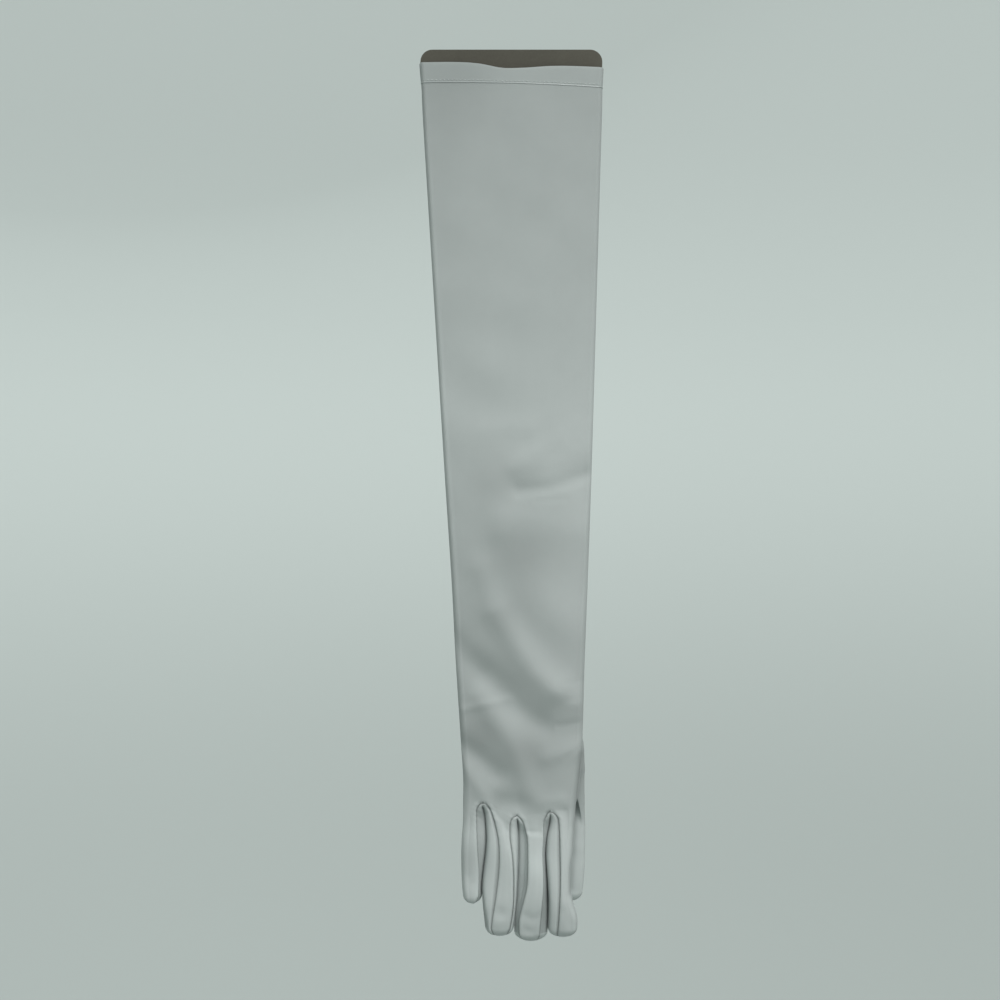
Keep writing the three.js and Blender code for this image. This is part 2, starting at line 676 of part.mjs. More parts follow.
function makeGlove() {
  const rings = makeArm();
  const knuckles = rings[rings.length - 1];
  const crowns = makeCrowns(knuckles);
  fingers.forEach((finger, index) => makeFinger(index, knuckles, crowns));
  makeThumb(rings);

  const names = ["trank", ...gaps.map((gap) => gap.name), "thumb", "hem"];
  const pieces = names.map((name) => {
    const faces = skin.faces.filter((face) => face.piece === name);
    return { name, faces, normals: pieceNormals(faces) };
  });
  const sharedNormals = new Map();
  const users = new Map();
  for (const { name, normals } of pieces) {
    for (const [id, normal] of normals) {
      if (!sharedNormals.has(id)) sharedNormals.set(id, new THREE.Vector3());
      sharedNormals.get(id).add(normal);
      users.set(id, [...(users.get(id) ?? []), name]);
    }
  }
  const shared = new Set([...users].filter(([, list]) => list.length > 1).map(([id]) => id));
  for (const id of shared) {
    if (users.get(id).includes("thumb")) sharedNormals.get(id).z -= creaseLift;
  }
  for (const normal of sharedNormals.values()) normal.normalize();

  const glove = new THREE.Group();
  for (const { name, faces, normals } of pieces) {
    const wall = name === "hem" ? hemWall : clothWall;
    const ownGap = name === "thumb" ? thumbSeamGap : seamGap;
    const gap = name === "trank" ? 0 : ownGap;
    const geometry = thicken(faces, wall, gap, normals, sharedNormals, shared);
    const mesh = new THREE.Mesh(geometry, name === "hem" ? hemSatin : satin);
    mesh.name = name;
    glove.add(mesh);
  }
  const cardMesh = new THREE.Mesh(makeCardGeometry(), cardboard);
  cardMesh.name = "stiffener_card";
  glove.add(cardMesh);
  return glove;
}

export default makeGlove();
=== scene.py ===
import math
import bpy
import numpy as np
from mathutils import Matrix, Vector, kdtree


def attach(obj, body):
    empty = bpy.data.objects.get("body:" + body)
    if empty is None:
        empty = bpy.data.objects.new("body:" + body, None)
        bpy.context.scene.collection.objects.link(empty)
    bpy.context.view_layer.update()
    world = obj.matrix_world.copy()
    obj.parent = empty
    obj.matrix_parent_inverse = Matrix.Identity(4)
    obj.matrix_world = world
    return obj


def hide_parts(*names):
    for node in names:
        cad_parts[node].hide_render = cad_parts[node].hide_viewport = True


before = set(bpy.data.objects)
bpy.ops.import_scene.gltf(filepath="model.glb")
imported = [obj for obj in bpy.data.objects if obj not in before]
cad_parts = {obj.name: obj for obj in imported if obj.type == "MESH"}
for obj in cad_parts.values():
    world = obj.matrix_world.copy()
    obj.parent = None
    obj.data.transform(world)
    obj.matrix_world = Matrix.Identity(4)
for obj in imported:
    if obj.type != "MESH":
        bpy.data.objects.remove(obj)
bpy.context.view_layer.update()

mm = 0.001
print("frame loaded:", len(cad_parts), "nodes")


# camera and studio
studio = {
    "cameraAt": (-0.0072, -0.873, -0.273),
    "lens": 50.0,
    "floorLevel": -1.15,
    "floorRadius": 1.1,
    "sweepRadius": 1.3,
    "wallTop": 1.7,
    "wallColour": (0.33, 0.37, 0.355, 1.0),
    "wallRoughness": 0.9,
    "wallSpecular": 0.1,
    "wallSides": 96,
    "bendSteps": 16,
    "wallGlowColour": (0.90, 1.0, 0.965, 1.0),
    "wallGlow": (0.17, 0.36),
    "wallGlowLevels": (-1.0, 0.0),
    "wallTopFall": (1.0, 0.84),
    "wallTopLevels": (0.0, 0.6),
    "worldColour": (0.86, 0.93, 0.91, 1.0),
    "worldStrength": 0.14,
    "lightsAimAt": (0, 0, -0.27),
    "lights": {
        "key": {"at": (1.45, -2.7, 4.9), "size": 2.8, "power": 248.0},
        "fill": {"at": (-1.2, -1.8, -0.3), "size": 1.8, "power": 4.5},
        "low": {"at": (0.42, -0.62, -0.42), "size": 0.4, "power": 0.5},
        "back": {"at": (-0.7, 1.5, 1.2), "size": 1.2, "power": 20.0},
    },
}


def addObject(name, data):
    thing = bpy.data.objects.new(name, data)
    bpy.context.scene.collection.objects.link(thing)
    return thing


def aimAt(thing, target):
    way = Vector(target) - thing.location
    thing.rotation_euler = way.to_track_quat("-Z", "Y").to_euler()


def addSoftbox(name, place, size, power):
    light = bpy.data.lights.new(name, "AREA")
    light.shape = "SQUARE"
    light.size = size
    light.energy = power
    lamp = addObject(name, light)
    lamp.location = place
    aimAt(lamp, studio["lightsAimAt"])


def makeCamera():
    lens = bpy.data.cameras.new("camera")
    lens.lens = studio["lens"]
    lens.sensor_width = 36.0
    camera = addObject("camera", lens)
    camera.location = studio["cameraAt"]
    camera.rotation_euler = (math.pi / 2, 0, 0)
    bpy.context.scene.camera = camera


makeCamera()


# node helpers
def setInputs(node, values):
    for name, value in values.items():
        node.inputs[name].default_value = value


def newMaterial(name):
    material = bpy.data.materials.new(name)
    material.use_nodes = True
    nodes = material.node_tree.nodes
    nodes.clear()
    output = nodes.new("ShaderNodeOutputMaterial")
    shader = nodes.new("ShaderNodeBsdfPrincipled")
    material.node_tree.links.new(shader.outputs["BSDF"], output.inputs["Surface"])
    return material, shader


def addNode(tree, kind, values=None, links=None, **settings):
    node = tree.nodes.new("ShaderNode" + kind)
    for name, value in settings.items():
        setattr(node, name, value)
    setInputs(node, values or {})
    for name, source in (links or {}).items():
        tree.links.new(source, node.inputs[name])
    return node


def addMath(tree, operation, first, second):
    return addNode(tree, "Math", None, {0: first, 1: second}, operation=operation).outputs[0]


def newGroup(name, inputs, outputs):
    tree = bpy.data.node_groups.new(name, "ShaderNodeTree")
    for label, kind, value in inputs:
        socket = tree.interface.new_socket(name=label, in_out="INPUT", socket_type=kind)
        socket.default_value = value
    for label, kind in outputs:
        tree.interface.new_socket(name=label, in_out="OUTPUT", socket_type=kind)
    return tree, tree.nodes.new("NodeGroupInput"), tree.nodes.new("NodeGroupOutput")


# painted shade: mixes the satin's colour towards dark grey by a point mask, where shadow falls in
# seams, finger slits and the thumb crease
def makeShadeGroup():
    tree, given, out = newGroup(
        "seam shade",
        [("Colour", "NodeSocketColor", (0.7, 0.7, 0.7, 1)), ("Strength", "NodeSocketFloat", 0.5)],
        [("Colour", "NodeSocketColor")],
    )
    paintedShade = addNode(tree, "Attribute", attribute_name="paintedShadeMask")
    amount = addMath(tree, "MULTIPLY", paintedShade.outputs["Fac"], given.outputs["Strength"])
    mixed = addNode(tree, "Mix", None, {"Factor": amount}, data_type="RGBA")
    tree.links.new(given.outputs["Colour"], mixed.inputs[6])
    # dark grey of the painted shade
    mixed.inputs[7].default_value = (0.10, 0.11, 0.11, 1)
    tree.links.new(mixed.outputs[2], out.inputs["Colour"])
    return tree


def placeGroup(material, group, values):
    node = material.node_tree.nodes.new("ShaderNodeGroup")
    node.node_tree = group
    setInputs(node, values)
    return node


# satin weave: long shiny floats along the arm, held down by short crossing threads
def makeWeaveGroup():
    floatKind = "NodeSocketFloat"
    tree, given, out = newGroup(
        "satin weave",
        [("Threads", floatKind, 4200.0), ("Float Length", floatKind, 9.0), ("Slub", floatKind, 0.35)],
        [("Height", floatKind), ("Thread Mask", floatKind)],
    )
    place = addNode(tree, "TexCoord")
    stretch = addNode(tree, "CombineXYZ", {"X": 1.0, "Y": 1.0})
    shorter = addNode(tree, "Math", {0: 1.0},
                      {1: given.outputs["Float Length"]}, operation="DIVIDE")
    tree.links.new(shorter.outputs[0], stretch.inputs["Z"])
    squeezed = addNode(tree, "VectorMath", None,
                       {0: place.outputs["Object"], 1: stretch.outputs[0]}, operation="MULTIPLY")
    floats = addNode(tree, "TexVoronoi", {"Randomness": 0.8},
                     {"Vector": squeezed.outputs[0], "Scale": given.outputs["Threads"]},
                     feature="SMOOTH_F1")
    slub = addNode(tree, "TexNoise", {"Scale": 160.0, "Detail": 2.0},
                   {"Vector": squeezed.outputs[0]})
    slubPart = addMath(tree, "MULTIPLY", slub.outputs["Fac"], given.outputs["Slub"])
    height = addMath(tree, "SUBTRACT", slubPart, floats.outputs["Distance"])
    mask = addNode(tree, "MapRange", {"From Min": 0.2, "From Max": 0.7},
                   {"Value": floats.outputs["Distance"]})
    tree.links.new(height, out.inputs["Height"])
    tree.links.new(mask.outputs[0], out.inputs["Thread Mask"])
    return tree


# painted light and shade: the satin's colour scaled by a point attribute, lighter or darker along the
# glove
def makePaintedLightGroup():
    tree, given, out = newGroup(
        "painted light scale",
        [("Colour", "NodeSocketColor", (0.7, 0.7, 0.7, 1))],
        [("Colour", "NodeSocketColor")],
    )
    paintedLight = addNode(tree, "Attribute", attribute_name="paintedLightLevel")
    scaled = addNode(tree, "VectorMath", None,
                     {0: given.outputs["Colour"], "Scale": paintedLight.outputs["Fac"]}, operation="SCALE")
    tree.links.new(scaled.outputs[0], out.inputs["Colour"])
    return tree


# slow change of tone over a surface, and a finer mottle
def makeToneGroup():
    tree, given, out = newGroup(
        "tone drift",
        [("Light", "NodeSocketColor", (0.7, 0.7, 0.7, 1)),
         ("Dark", "NodeSocketColor", (0.6, 0.6, 0.6, 1)),
         ("Patch Scale", "NodeSocketFloat", 9.0), ("Mottle Scale", "NodeSocketFloat", 90.0)],
        [("Colour", "NodeSocketColor")],
    )
    place = addNode(tree, "TexCoord")
    patches = addNode(tree, "TexNoise", {"Detail": 3.0, "Roughness": 0.5},
                      {"Vector": place.outputs["Object"], "Scale": given.outputs["Patch Scale"]})
    mottle = addNode(tree, "TexNoise", {"Detail": 4.0, "Roughness": 0.6},
                     {"Vector": place.outputs["Object"], "Scale": given.outputs["Mottle Scale"]})
    both = addNode(tree, "Math", {1: 0.35}, {0: mottle.outputs["Fac"]}, operation="MULTIPLY")
    total = addNode(tree, "Math", {1: 0.65}, {0: patches.outputs["Fac"], 2: both.outputs[0]},
                    operation="MULTIPLY_ADD")
    level = addNode(tree, "MapRange", {"From Min": 0.35, "From Max": 0.65},
                    {"Value": total.outputs[0]})
    mixed = addNode(tree, "Mix", None, {"Factor": level.outputs[0]}, data_type="RGBA")
    tree.links.new(given.outputs["Dark"], mixed.inputs[6])
    tree.links.new(given.outputs["Light"], mixed.inputs[7])
    tree.links.new(mixed.outputs[2], out.inputs["Colour"])
    return tree


weaveGroup = makeWeaveGroup()
toneGroup = makeToneGroup()
shadeGroup = makeShadeGroup()
paintedLightGroup = makePaintedLightGroup()


def placeTone(material, look, lift=1.0):
    light, dark = (tuple(min(1.0, part * lift) for part in look[name][:3]) + (1.0,)
                   for name in ("light", "dark"))
    tone = placeGroup(material, toneGroup, {
        "Light": light, "Dark": dark,
        "Patch Scale": look["patchScale"], "Mottle Scale": look["mottleScale"]})
    return tone.outputs["Colour"]


satinLook = {
    "light": (0.700, 0.750, 0.735, 1.0),
    "dark": (0.655, 0.705, 0.690, 1.0),
    "hemLift": 1.05,
    "roughness": (0.36, 0.46),
    "specular": 0.55,
    "sheen": 0.12,
    "sheenRoughness": 0.4,
    "anisotropy": 0.35,
    "patchScale": 7.0,
    "mottleScale": 60.0,
    "threads": 4200.0,
    "floatLength": 9.0,
    "slub": 0.35,
    "weaveStrength": 0.5,
    "weaveDepth": 0.00003,
    # strength of the painted shade in seams, slits and the thumb crease
    "seamShade": 0.6,
}


def makeSatin(name, lift=1.0):
    material, shader = newMaterial(name)
    tree, look = material.node_tree, satinLook
    weave = placeGroup(material, weaveGroup, {
        "Threads": look["threads"], "Float Length": look["floatLength"], "Slub": look["slub"]})
    # painted shade along seams, slits and the thumb crease darkens the colour
    shade = placeGroup(material, shadeGroup, {"Strength": look["seamShade"]})
    # painted light and shade scales the colour
    paintedLight = placeGroup(material, paintedLightGroup, {})
    tree.links.new(placeTone(material, look, lift), paintedLight.inputs["Colour"])
    tree.links.new(paintedLight.outputs["Colour"], shade.inputs["Colour"])
    tree.links.new(shade.outputs["Colour"], shader.inputs["Base Color"])
    rough = addNode(tree, "MapRange",
                    {"To Min": look["roughness"][0], "To Max": look["roughness"][1]},
                    {"Value": weave.outputs["Thread Mask"]})
    tree.links.new(rough.outputs[0], shader.inputs["Roughness"])
    bump = addNode(tree, "Bump",
                   {"Strength": look["weaveStrength"], "Distance": look["weaveDepth"]},
                   {"Height": weave.outputs["Height"]})
    tree.links.new(bump.outputs[0], shader.inputs["Normal"])
    setInputs(shader, {
        "Specular IOR Level": look["specular"], "Sheen Weight": look["sheen"],
        "Sheen Roughness": look["sheenRoughness"], "Anisotropic": look["anisotropy"]})
    return material


threadLook = {
    "light": (0.80, 0.85, 0.83, 1.0),
    "dark": (0.70, 0.75, 0.73, 1.0),
    "patchScale": 300.0,
    "mottleScale": 2500.0,
    "roughness": 0.5,
}


def makeThreadMaterial():
    material, shader = newMaterial("sewing thread")
    material.node_tree.links.new(placeTone(material, threadLook), shader.inputs["Base Color"])
    shader.inputs["Roughness"].default_value = threadLook["roughness"]
    return material


cardLook = {
    "light": (0.150, 0.142, 0.112, 1.0),
    "dark": (0.118, 0.112, 0.088, 1.0),
    "patchScale": 25.0,
    "mottleScale": 900.0,
    "roughness": 0.78,
    "fibreScale": 1800.0,
    "fibreStrength": 0.6,
    "fibreDepth": 0.00006,
}


def makeCardMaterial():
    material, shader = newMaterial("grey-brown card")
    tree = material.node_tree
    tree.links.new(placeTone(material, cardLook), shader.inputs["Base Color"])
    place = addNode(tree, "TexCoord")
    fibres = addNode(tree, "TexNoise",
                     {"Scale": cardLook["fibreScale"], "Detail": 5.0, "Roughness": 0.65},
                     {"Vector": place.outputs["Object"]})
    bump = addNode(tree, "Bump",
                   {"Strength": cardLook["fibreStrength"], "Distance": cardLook["fibreDepth"]},
                   {"Height": fibres.outputs["Fac"]})
    tree.links.new(bump.outputs[0], shader.inputs["Normal"])
    shader.inputs["Roughness"].default_value = cardLook["roughness"]
    return material


satin = makeSatin("white satin")
hemSatin = makeSatin("doubled satin hem", lift=satinLook["hemLift"])
threadMaterial = makeThreadMaterial()
cardMaterial = makeCardMaterial()
print("materials made")


# tables, in millimetres
def table(columns, *rows):
    return {name: np.array([row[i] for row in rows], float) for i, name in enumerate(columns.split())}


glove = {
    "cloth": 0.5,
    "hemCloth": 0.9,
    "hemDepth": 13.0,
    "cardStretchEnd": -250.0,
    "knuckleLevel": -466.0,
    "knuckleBlend": 40.0,
    "hemBlend": 40.0,
    "stripsBegin": -300.0,
    "stripSteps": 14,
    "foldSteps": 14,
    "cardRows": 60,
    "handRows": 120,
    "fingerRows": 58,
    "rowCrowding": 1.5,
    "tipRows": 10,
}
hemLevels = [0.0, -1.0, -2.2, -4.0, -6.0, -8.0, -9.8, -10.8, -11.4, -12.0, -12.5, -13.0]
armSections = table(
    "z left right edge front back",
    (0, -57.8, 57.8, 3.4, 4.2, 0.3),
    (-130, -49.8, 54.0, 3.4, 5.0, 0.3),
    (-260, -41.8, 50.2, 3.6, 5.0, 1.5),
    (-325, -37.6, 47.9, 4.0, 5.0, 3.0),
    (-375, -35.0, 46.0, 4.2, 4.2, 3.0),
    (-425, -31.8, 44.4, 4.4, 3.0, 2.0),
    (-448, -30.4, 42.2, 4.6, 1.8, 1.2),
    (-466, -30.4, 40.3, 4.6, 0.9, 0.7),
)
rimLine = table("x z", (-57.8, 1.2), (-32, 0.3), (-20, -0.9), (-6, -3.7), (6, -3.7), (27, -2.2),
                (57.8, -1.9))
hemLine = table("x z", (-57.8, -11.3), (-20, -12.5), (30, -13.8), (57.8, -14.4))
knuckleLine = table("x z", (-30.4, -464), (-19.4, -462.9), (-17.9, -462.9), (-16.4, -462.9),
                    (1.9, -470.85), (3.4, -470.9), (4.9, -470.85),
                    (22.6, -468.4), (24.1, -468.4), (25.6, -468.35), (40.3, -466))
knuckleShares = [0, 0.128, 0.474, 0.81, 1]

# closer columns beside the seams
stripCuts = np.array([0, 0.02, 0.05, 0.1, 0.17, 0.27, 0.38, 0.5, 0.62, 0.73, 0.83, 0.9, 0.95, 0.98, 1])
sideCuts = np.array([0, 0.03, 0.07, 0.13, 0.21, 0.31, 0.41, 0.5, 0.59, 0.69, 0.79, 0.87, 0.93, 0.97, 1])
sideDegrees = 180 * sideCuts[1:-1] - 90

# folds and dents along lines of (x, z) points: width, height (negative for a valley), then the line
frontFolds = [
    (14, 0.35, [(34, -110), (10, -150), (-10, -190)]),
    (16, -0.35, [(14, -112), (-8, -150), (-30, -200)]),
    (7, 0.5, [(-16, -230), (-4, -227), (10, -228)]),
    (6, 0.6, [(29, -236), (14, -244), (2, -253)]),
    (8, 0.6, [(8, -252), (26, -249), (46, -243)]),
    (4.5, -0.85, [(4, -267), (24, -265.5), (48, -257)]),
    (12, 1.1, [(-4, -286), (20, -288), (42, -292)]),
    (1.6, -0.2, [(16, -274), (34, -272)]),
    (10, 0.7, [(-10, -262), (-8, -292)]),
    (8, 0.9, [(-20, -316), (-14, -330)]),
    (9, 2.5, [(-9, -343), (3, -363), (14, -379), (25, -390)]),
    (8, 1.2, [(33, -394), (40, -398)]),
    (9, -1.6, [(-36, -364), (-26, -373)]),
    (9, -2.5, [(-16, -382), (-8, -389), (4, -403), (15, -412)]),
    (8, -1.1, [(25, -417), (44, -417)]),
    (2.4, 0.5, [(-31, -404.5), (-18, -400.6), (-1.6, -397.5)]),
    (7, 1.2, [(-20, -396), (-1, -424), (7, -443), (12, -456)]),
    (7, -1.7, [(-29, -428), (-19, -435), (-10, -444)]),
    (4.5, 0.7, [(-29, -442), (-15, -461)]),
    (6, -1.1, [(-9, -462), (4, -463)]),
    (5, 0.7, [(22, -434), (43, -429)]),
    (1.5, -0.3, [(34, -434), (46, -426)]),
    (1.6, -0.3, [(29, -414), (46, -412)]),
    (1.3, -0.2, [(33, -387), (46, -386)]),
    (1.3, -0.2, [(35, -398), (45, -396)]),
    (4.5, 0.6, [(18, -463), (30, -461)]),
    (2.6, -0.6, [(33.5, -468), (35, -482), (37.5, -502)]),
    (3, -0.6, [(-7, -531.7), (-6.5, -530)]),
    (2.2, 0.3, [(-11, -536), (-3, -536)]),
    (2.4, -0.4, [(8, -532), (13, -534.5), (18, -533)]),
    (2.4, -0.5, [(10, -542.5), (12, -543)]),
    (3, -0.4, [(33, -530), (36, -538)]),
    (3, -0.25, [(-27, -508), (-25, -512)]),
]
backFolds = [
    (12, 0.8, [(-34, -268), (0, -262), (36, -266)]),
    (12, 1.4, [(24, -314), (4, -346), (-20, -374)]),
    (10, -1.3, [(28, -342), (8, -374), (-12, -400)]),
    (10, 0.8, [(-28, -428), (8, -406)]),
    (8, -0.8, [(-24, -442), (10, -432)]),
]

# gaps between fingers: top of the seam arch, and top of the slit below it
gapRows = table("archX slitX slitZ open",
                (-17.9, -18.4, -465.3, 0.15), (3.4, 3.6, -473.1, 0.45), (24.1, 24.1, -470.4, 0.15))
gapNames = ["fourchette_little_ring", "fourchette_ring_middle", "fourchette_middle_index"]
gapShape = {"archHeight": 6.0, "slitHeight": 6.0, "strip": 9.5, "leastOnPalm": 1.2, "mostOnPalm": 5.0,
            "sinkRun": 9.0, "sinkEdge": 0.15, "turnShut": (-40.0, 10.0),
            "crownPlump": 0.45, "press": 0.06, "slitTurn": 24.0, "slitShadeRun": 3.0,
            "slopeFade": (0.3, 3.5), "stripShadeRun": 9.0}
fingerTables = [table("z edgeL seamL seamR edgeR", *rows) for rows in (
    ((-466, -30.4, -25.8, -21.8, -18.3),
     (-475, -30.5, -25.9, -21.7, -16.8),
     (-485, -31.2, -26.5, -21.3, -16.15),
     (-495, -31.6, -26.9, -20.8, -16.8),
     (-505, -31.5, -26.9, -20.1, -18.1),
     (-515, -31.1, -26.6, -20.2, -19.0),
     (-520.2, -30.6, -26.2, -20.4, -18.8)),
    ((-466, -16.6, -13.6, -1.2, 3.2),
     (-470.5, -16.2, -12.2, -1.0, 3.5),
     (-475, -15.9, -10.8, -0.9, 3.7),
     (-485, -15.3, -8.6, -0.75, 4.1),
     (-495, -15.9, -7.9, 0.6, 4.1),
     (-505, -17.2, -8.2, 1.25, 3.85),
     (-515, -18.1, -9.25, 1.4, 3.35),
     (-525, -17.6, -10.6, 1.2, 2.7),
     (-535, -15.9, -12.2, 0.1, 1.7),
     (-540.6, -14.8, -12.9, -0.9, 0.9)),
    ((-471, 4.2, 6.0, 21.3, 24.0),
     (-475, 4.5, 7.2, 20.4, 23.7),
     (-485, 4.9, 9.6, 20.3, 21.9),
     (-495, 4.9, 9.9, 19.8, 21.2),
     (-505, 4.65, 9.9, 20.1, 21.7),
     (-515, 4.15, 9.25, 20.2, 22.3),
     (-525, 3.5, 6.9, 19.4, 22.7),
     (-535, 2.5, 4.6, 18.4, 22.6),
     (-544, 2.6, 4.5, 17.6, 22.0)),
    ((-466, 24.8, 28.9, 35.7, 40.3),
     (-475, 24.5, 29.4, 35.2, 39.7),
     (-485, 22.7, 29.9, 34.6, 39.0),
     (-495, 22.0, 30.1, 34.2, 38.6),
     (-505, 22.5, 30.3, 33.6, 37.0),
     (-515, 23.1, 30.2, 33.4, 37.0),
     (-525, 23.5, 29.8, 34.6, 38.6),
     (-535, 23.4, 29.3, 37, 41.4),
     (-541.3, 23.3, 28.8, 37.2, 41.4)),
)]
fingerShape = table("tip depth sinkL sinkR plumpL plumpR",
                    (-526.2, 5.3, 0, 0.5, 1, 1),
                    (-546.6, 5.6, -0.1, -0.06, 0.55, 0.7),
                    (-550, 5.7, 0.7, 0.5, 1, 1),
                    (-547.3, 5.6, -0.1, 0, 0.55, 1))
# painted shade: tone of the strip on a finger's side, by finger and side, darker where the strip lies
# in shadow
stripShadeTable = {(0, 1): 0.8, (2, 1): 0.74, (2, -1): 0.93}
fingerForm = {"blend": 10.0, "taper": 0.08, "seamShoulder": 0.8, "foldShoulder": 0.88, "tipHeight": 6.0}
thumbForm = {
    "holeRows": (96, 117),
    "holeMargin": 9,
    "tip": -527.5,
    "outTop": 19.0, "outBottom": 8.0, "side": 12.0,
    "downTop": 40.0, "downBottom": 11.0, "endTop": 36.0, "endBottom": 14.0,
    "roundness": 0.8, "loftRows": 34, "tubeRows": 26,
}
thumbSections = table("z left right front back",
                      (-480, 28.5, 47.0, 6.4, 15.8),
                      (-500, 29.0, 46.8, 6.4, 15.2),
                      (-515, 29.8, 46.0, 6.5, 14.6),
                      (-521.5, 30.6, 45.4, 6.7, 14.2))


# curves
def smoothStep(value, low, high):
    part = np.clip((value - low) / (high - low), 0, 1)
    return part * part * (3 - 2 * part)


def mix(start, end, part):
    return start + (end - start) * part


def hermite(start, startSlope, end, endSlope, t):
    t2, t3 = t * t, t * t * t
    startPart = (2 * t3 - 3 * t2 + 1) * start + (t3 - 2 * t2 + t) * startSlope
    return startPart + (3 * t2 - 2 * t3) * end + (t3 - t2) * endSlope


# smooth curve through one column of a table, read by its first column
def readTable(rows, at, name):
    key = next(iter(rows))
    order = 1 if rows[key][1] > rows[key][0] else -1
    keys, values = rows[key][::order], rows[name][::order]
    rise, run = np.diff(values), np.diff(keys)
    slopes = np.concatenate([[rise[0] / run[0]], (rise[1:] + rise[:-1]) / (run[1:] + run[:-1]),
                             [rise[-1] / run[-1]]])
    i = np.clip(np.searchsorted(keys, at) - 1, 0, len(keys) - 2)
    span = keys[i + 1] - keys[i]
    t = np.clip((at - keys[i]) / span, 0, 1)
    return hermite(values[i], slopes[i] * span, values[i + 1], slopes[i + 1] * span, t)


def bell(value, width):
    return np.exp(-((value / width) ** 2))


def arch(t):
    part = np.clip(t, 0, 1)
    return np.sqrt(part * (2 - part))


# the outer surface of the glove: shared points, and four-sided faces by piece
skinPoints = []
skinFaces = {}
slitShadePoints = []
tipRanges = []
stripShadePoints = []


def pointCount():
    return sum(len(part) for part in skinPoints)


def addPoints(points):
    first = pointCount()
    skinPoints.append(np.asarray(points, float))
    return np.arange(first, first + len(points))


def addBand(upper, lower, pieceOfSlot):
    quads = np.stack([upper, lower, np.roll(lower, -1), np.roll(upper, -1)], axis=1)
    for name in set(pieceOfSlot):
        if name:
            chosen = [i for i, piece in enumerate(pieceOfSlot) if piece == name]
            skinFaces.setdefault(name, []).append(quads[chosen])


def stripShares(level):
    steps = glove["stripSteps"]
    turn = smoothStep(glove["stripsBegin"] - level, 0, glove["stripsBegin"] - glove["knuckleLevel"])
    within = mix(np.linspace(0, 1, steps + 1), stripCuts, turn)
    shares = []
    for strip in range(4):
        start = mix(strip / 4, knuckleShares[strip], turn)
        end = mix((strip + 1) / 4, knuckleShares[strip + 1], turn)
        shares.append(mix(start, end, within[:-1]))
    return np.append(np.concatenate(shares), 1.0)


def levelShift(x, level):
    hemShift = readTable(hemLine, x, "z") + glove["hemDepth"]
    if level > -glove["hemDepth"]:
        return mix(readTable(rimLine, x, "z"), hemShift, -level / glove["hemDepth"])
    hemPart = 1 - smoothStep(-glove["hemDepth"] - level, 0, glove["hemBlend"])
    knuckleStart = glove["knuckleLevel"] + glove["knuckleBlend"]
    knucklePart = smoothStep(knuckleStart - level, 0, glove["knuckleBlend"])
    knuckleShift = readTable(knuckleLine, x, "z") - glove["knuckleLevel"]
    return hemPart * hemShift + knucklePart * knuckleShift


def armRing(level):
    left, right, edge, front, back = (
        readTable(armSections, level, name) for name in ("left", "right", "edge", "front", "back"))
    shares = stripShares(level)
    x = mix(left + edge, right - edge, shares)
    swell = 1 - (2 * shares - 1) ** 2
    turn = np.radians(sideDegrees)
    xs = np.concatenate([x, right - edge + edge * np.cos(turn),
                         x[::-1], left + edge - edge * np.cos(turn)])
    ys = np.concatenate([-(edge + front * swell), edge * np.sin(turn),
                         (edge + back * swell)[::-1], -edge * np.sin(turn)])
    return np.stack([xs, ys, level + levelShift(xs, level)], axis=1)


def makeArm():
    levels = list(hemLevels)
    levels += list(np.linspace(-glove["hemDepth"], glove["cardStretchEnd"], glove["cardRows"] + 1)[1:])
    handStart = len(levels) - 1
    levels += list(np.linspace(glove["cardStretchEnd"], glove["knuckleLevel"],
                               glove["handRows"] + 1)[1:])
    rings = [addPoints(armRing(level)) for level in levels]
    slots = len(rings[0])
    holeRows = [handStart + row for row in thumbForm["holeRows"]]
    steps, side = glove["stripSteps"], glove["foldSteps"]
    holeSlots = (4 * steps + side // 2, 6 * steps + side - thumbForm["holeMargin"])
    for row in range(len(levels) - 1):
        pieces = ["hem" if row < len(hemLevels) - 1 else "trank"] * slots
        if holeRows[0] <= row < holeRows[1]:
            for slot in range(*holeSlots):
                pieces[slot] = None
        addBand(rings[row], rings[row + 1], pieces)
    return rings, holeRows, holeSlots


def allPoints():
    return np.concatenate(skinPoints)


def makeCrowns(knuckles):
    points = allPoints()
    steps, side = glove["stripSteps"], glove["foldSteps"]
    backEnd = 8 * steps + side
    crowns = []
    for i in range(3):
        front, back = knuckles[(i + 1) * steps], knuckles[backEnd - (i + 1) * steps]
        turn = np.radians(sideDegrees)
        end = np.where(turn[:, None] < 0, points[front], points[back])
        inward = np.cos(turn)
        x = mix(end[:, 0], gapRows["slitX"][i], inward)
        z = mix(end[:, 2], gapRows["slitZ"][i], inward)
        plump = np.abs(np.sin(turn)) ** np.where(turn < 0, gapShape["crownPlump"], 1)
        middle = addPoints(np.stack([x, plump * end[:, 1], z], axis=1))
        crowns.append(np.concatenate([[front], middle, [back]]))
    return crowns


# outline and seams of one side of a finger at a level: side is -1 on its left and 1 on its right
def fingerSide(index, side, seamZ, edgeZ, palmZ):
    letter = "L" if side < 0 else "R"
    lineAt = lambda z, name: readTable(fingerTables[index], z, name + letter)
    gap = index - 1 if side < 0 else index
    edge, seam = lineAt(edgeZ, "edge"), lineAt(seamZ, "seam")
    if gap < 0 or gap > 2:
        return edge, seam, lineAt(palmZ, "seam"), fingerForm["foldShoulder"]
    archX, slitX, slitZ = (gapRows[name][gap] for name in ("archX", "slitX", "slitZ"))
    archZ = readTable(knuckleLine, archX, "z")
    palmEdge = lineAt(palmZ, "edge")
    onBack = abs(lineAt(palmZ, "seam") - palmEdge)
    onPalm = np.clip(gapShape["strip"] - onBack, gapShape["leastOnPalm"], gapShape["mostOnPalm"])
    opened = arch((slitZ - edgeZ) / gapShape["slitHeight"])
    edge = mix(slitX, edge, opened)
    seam = mix(archX, seam, arch((archZ - seamZ) / gapShape["archHeight"]))
    palm = mix(archX, palmEdge - side * onPalm, arch((archZ - palmZ) / gapShape["archHeight"]))
    return edge, seam, palm, fingerForm["seamShoulder"]


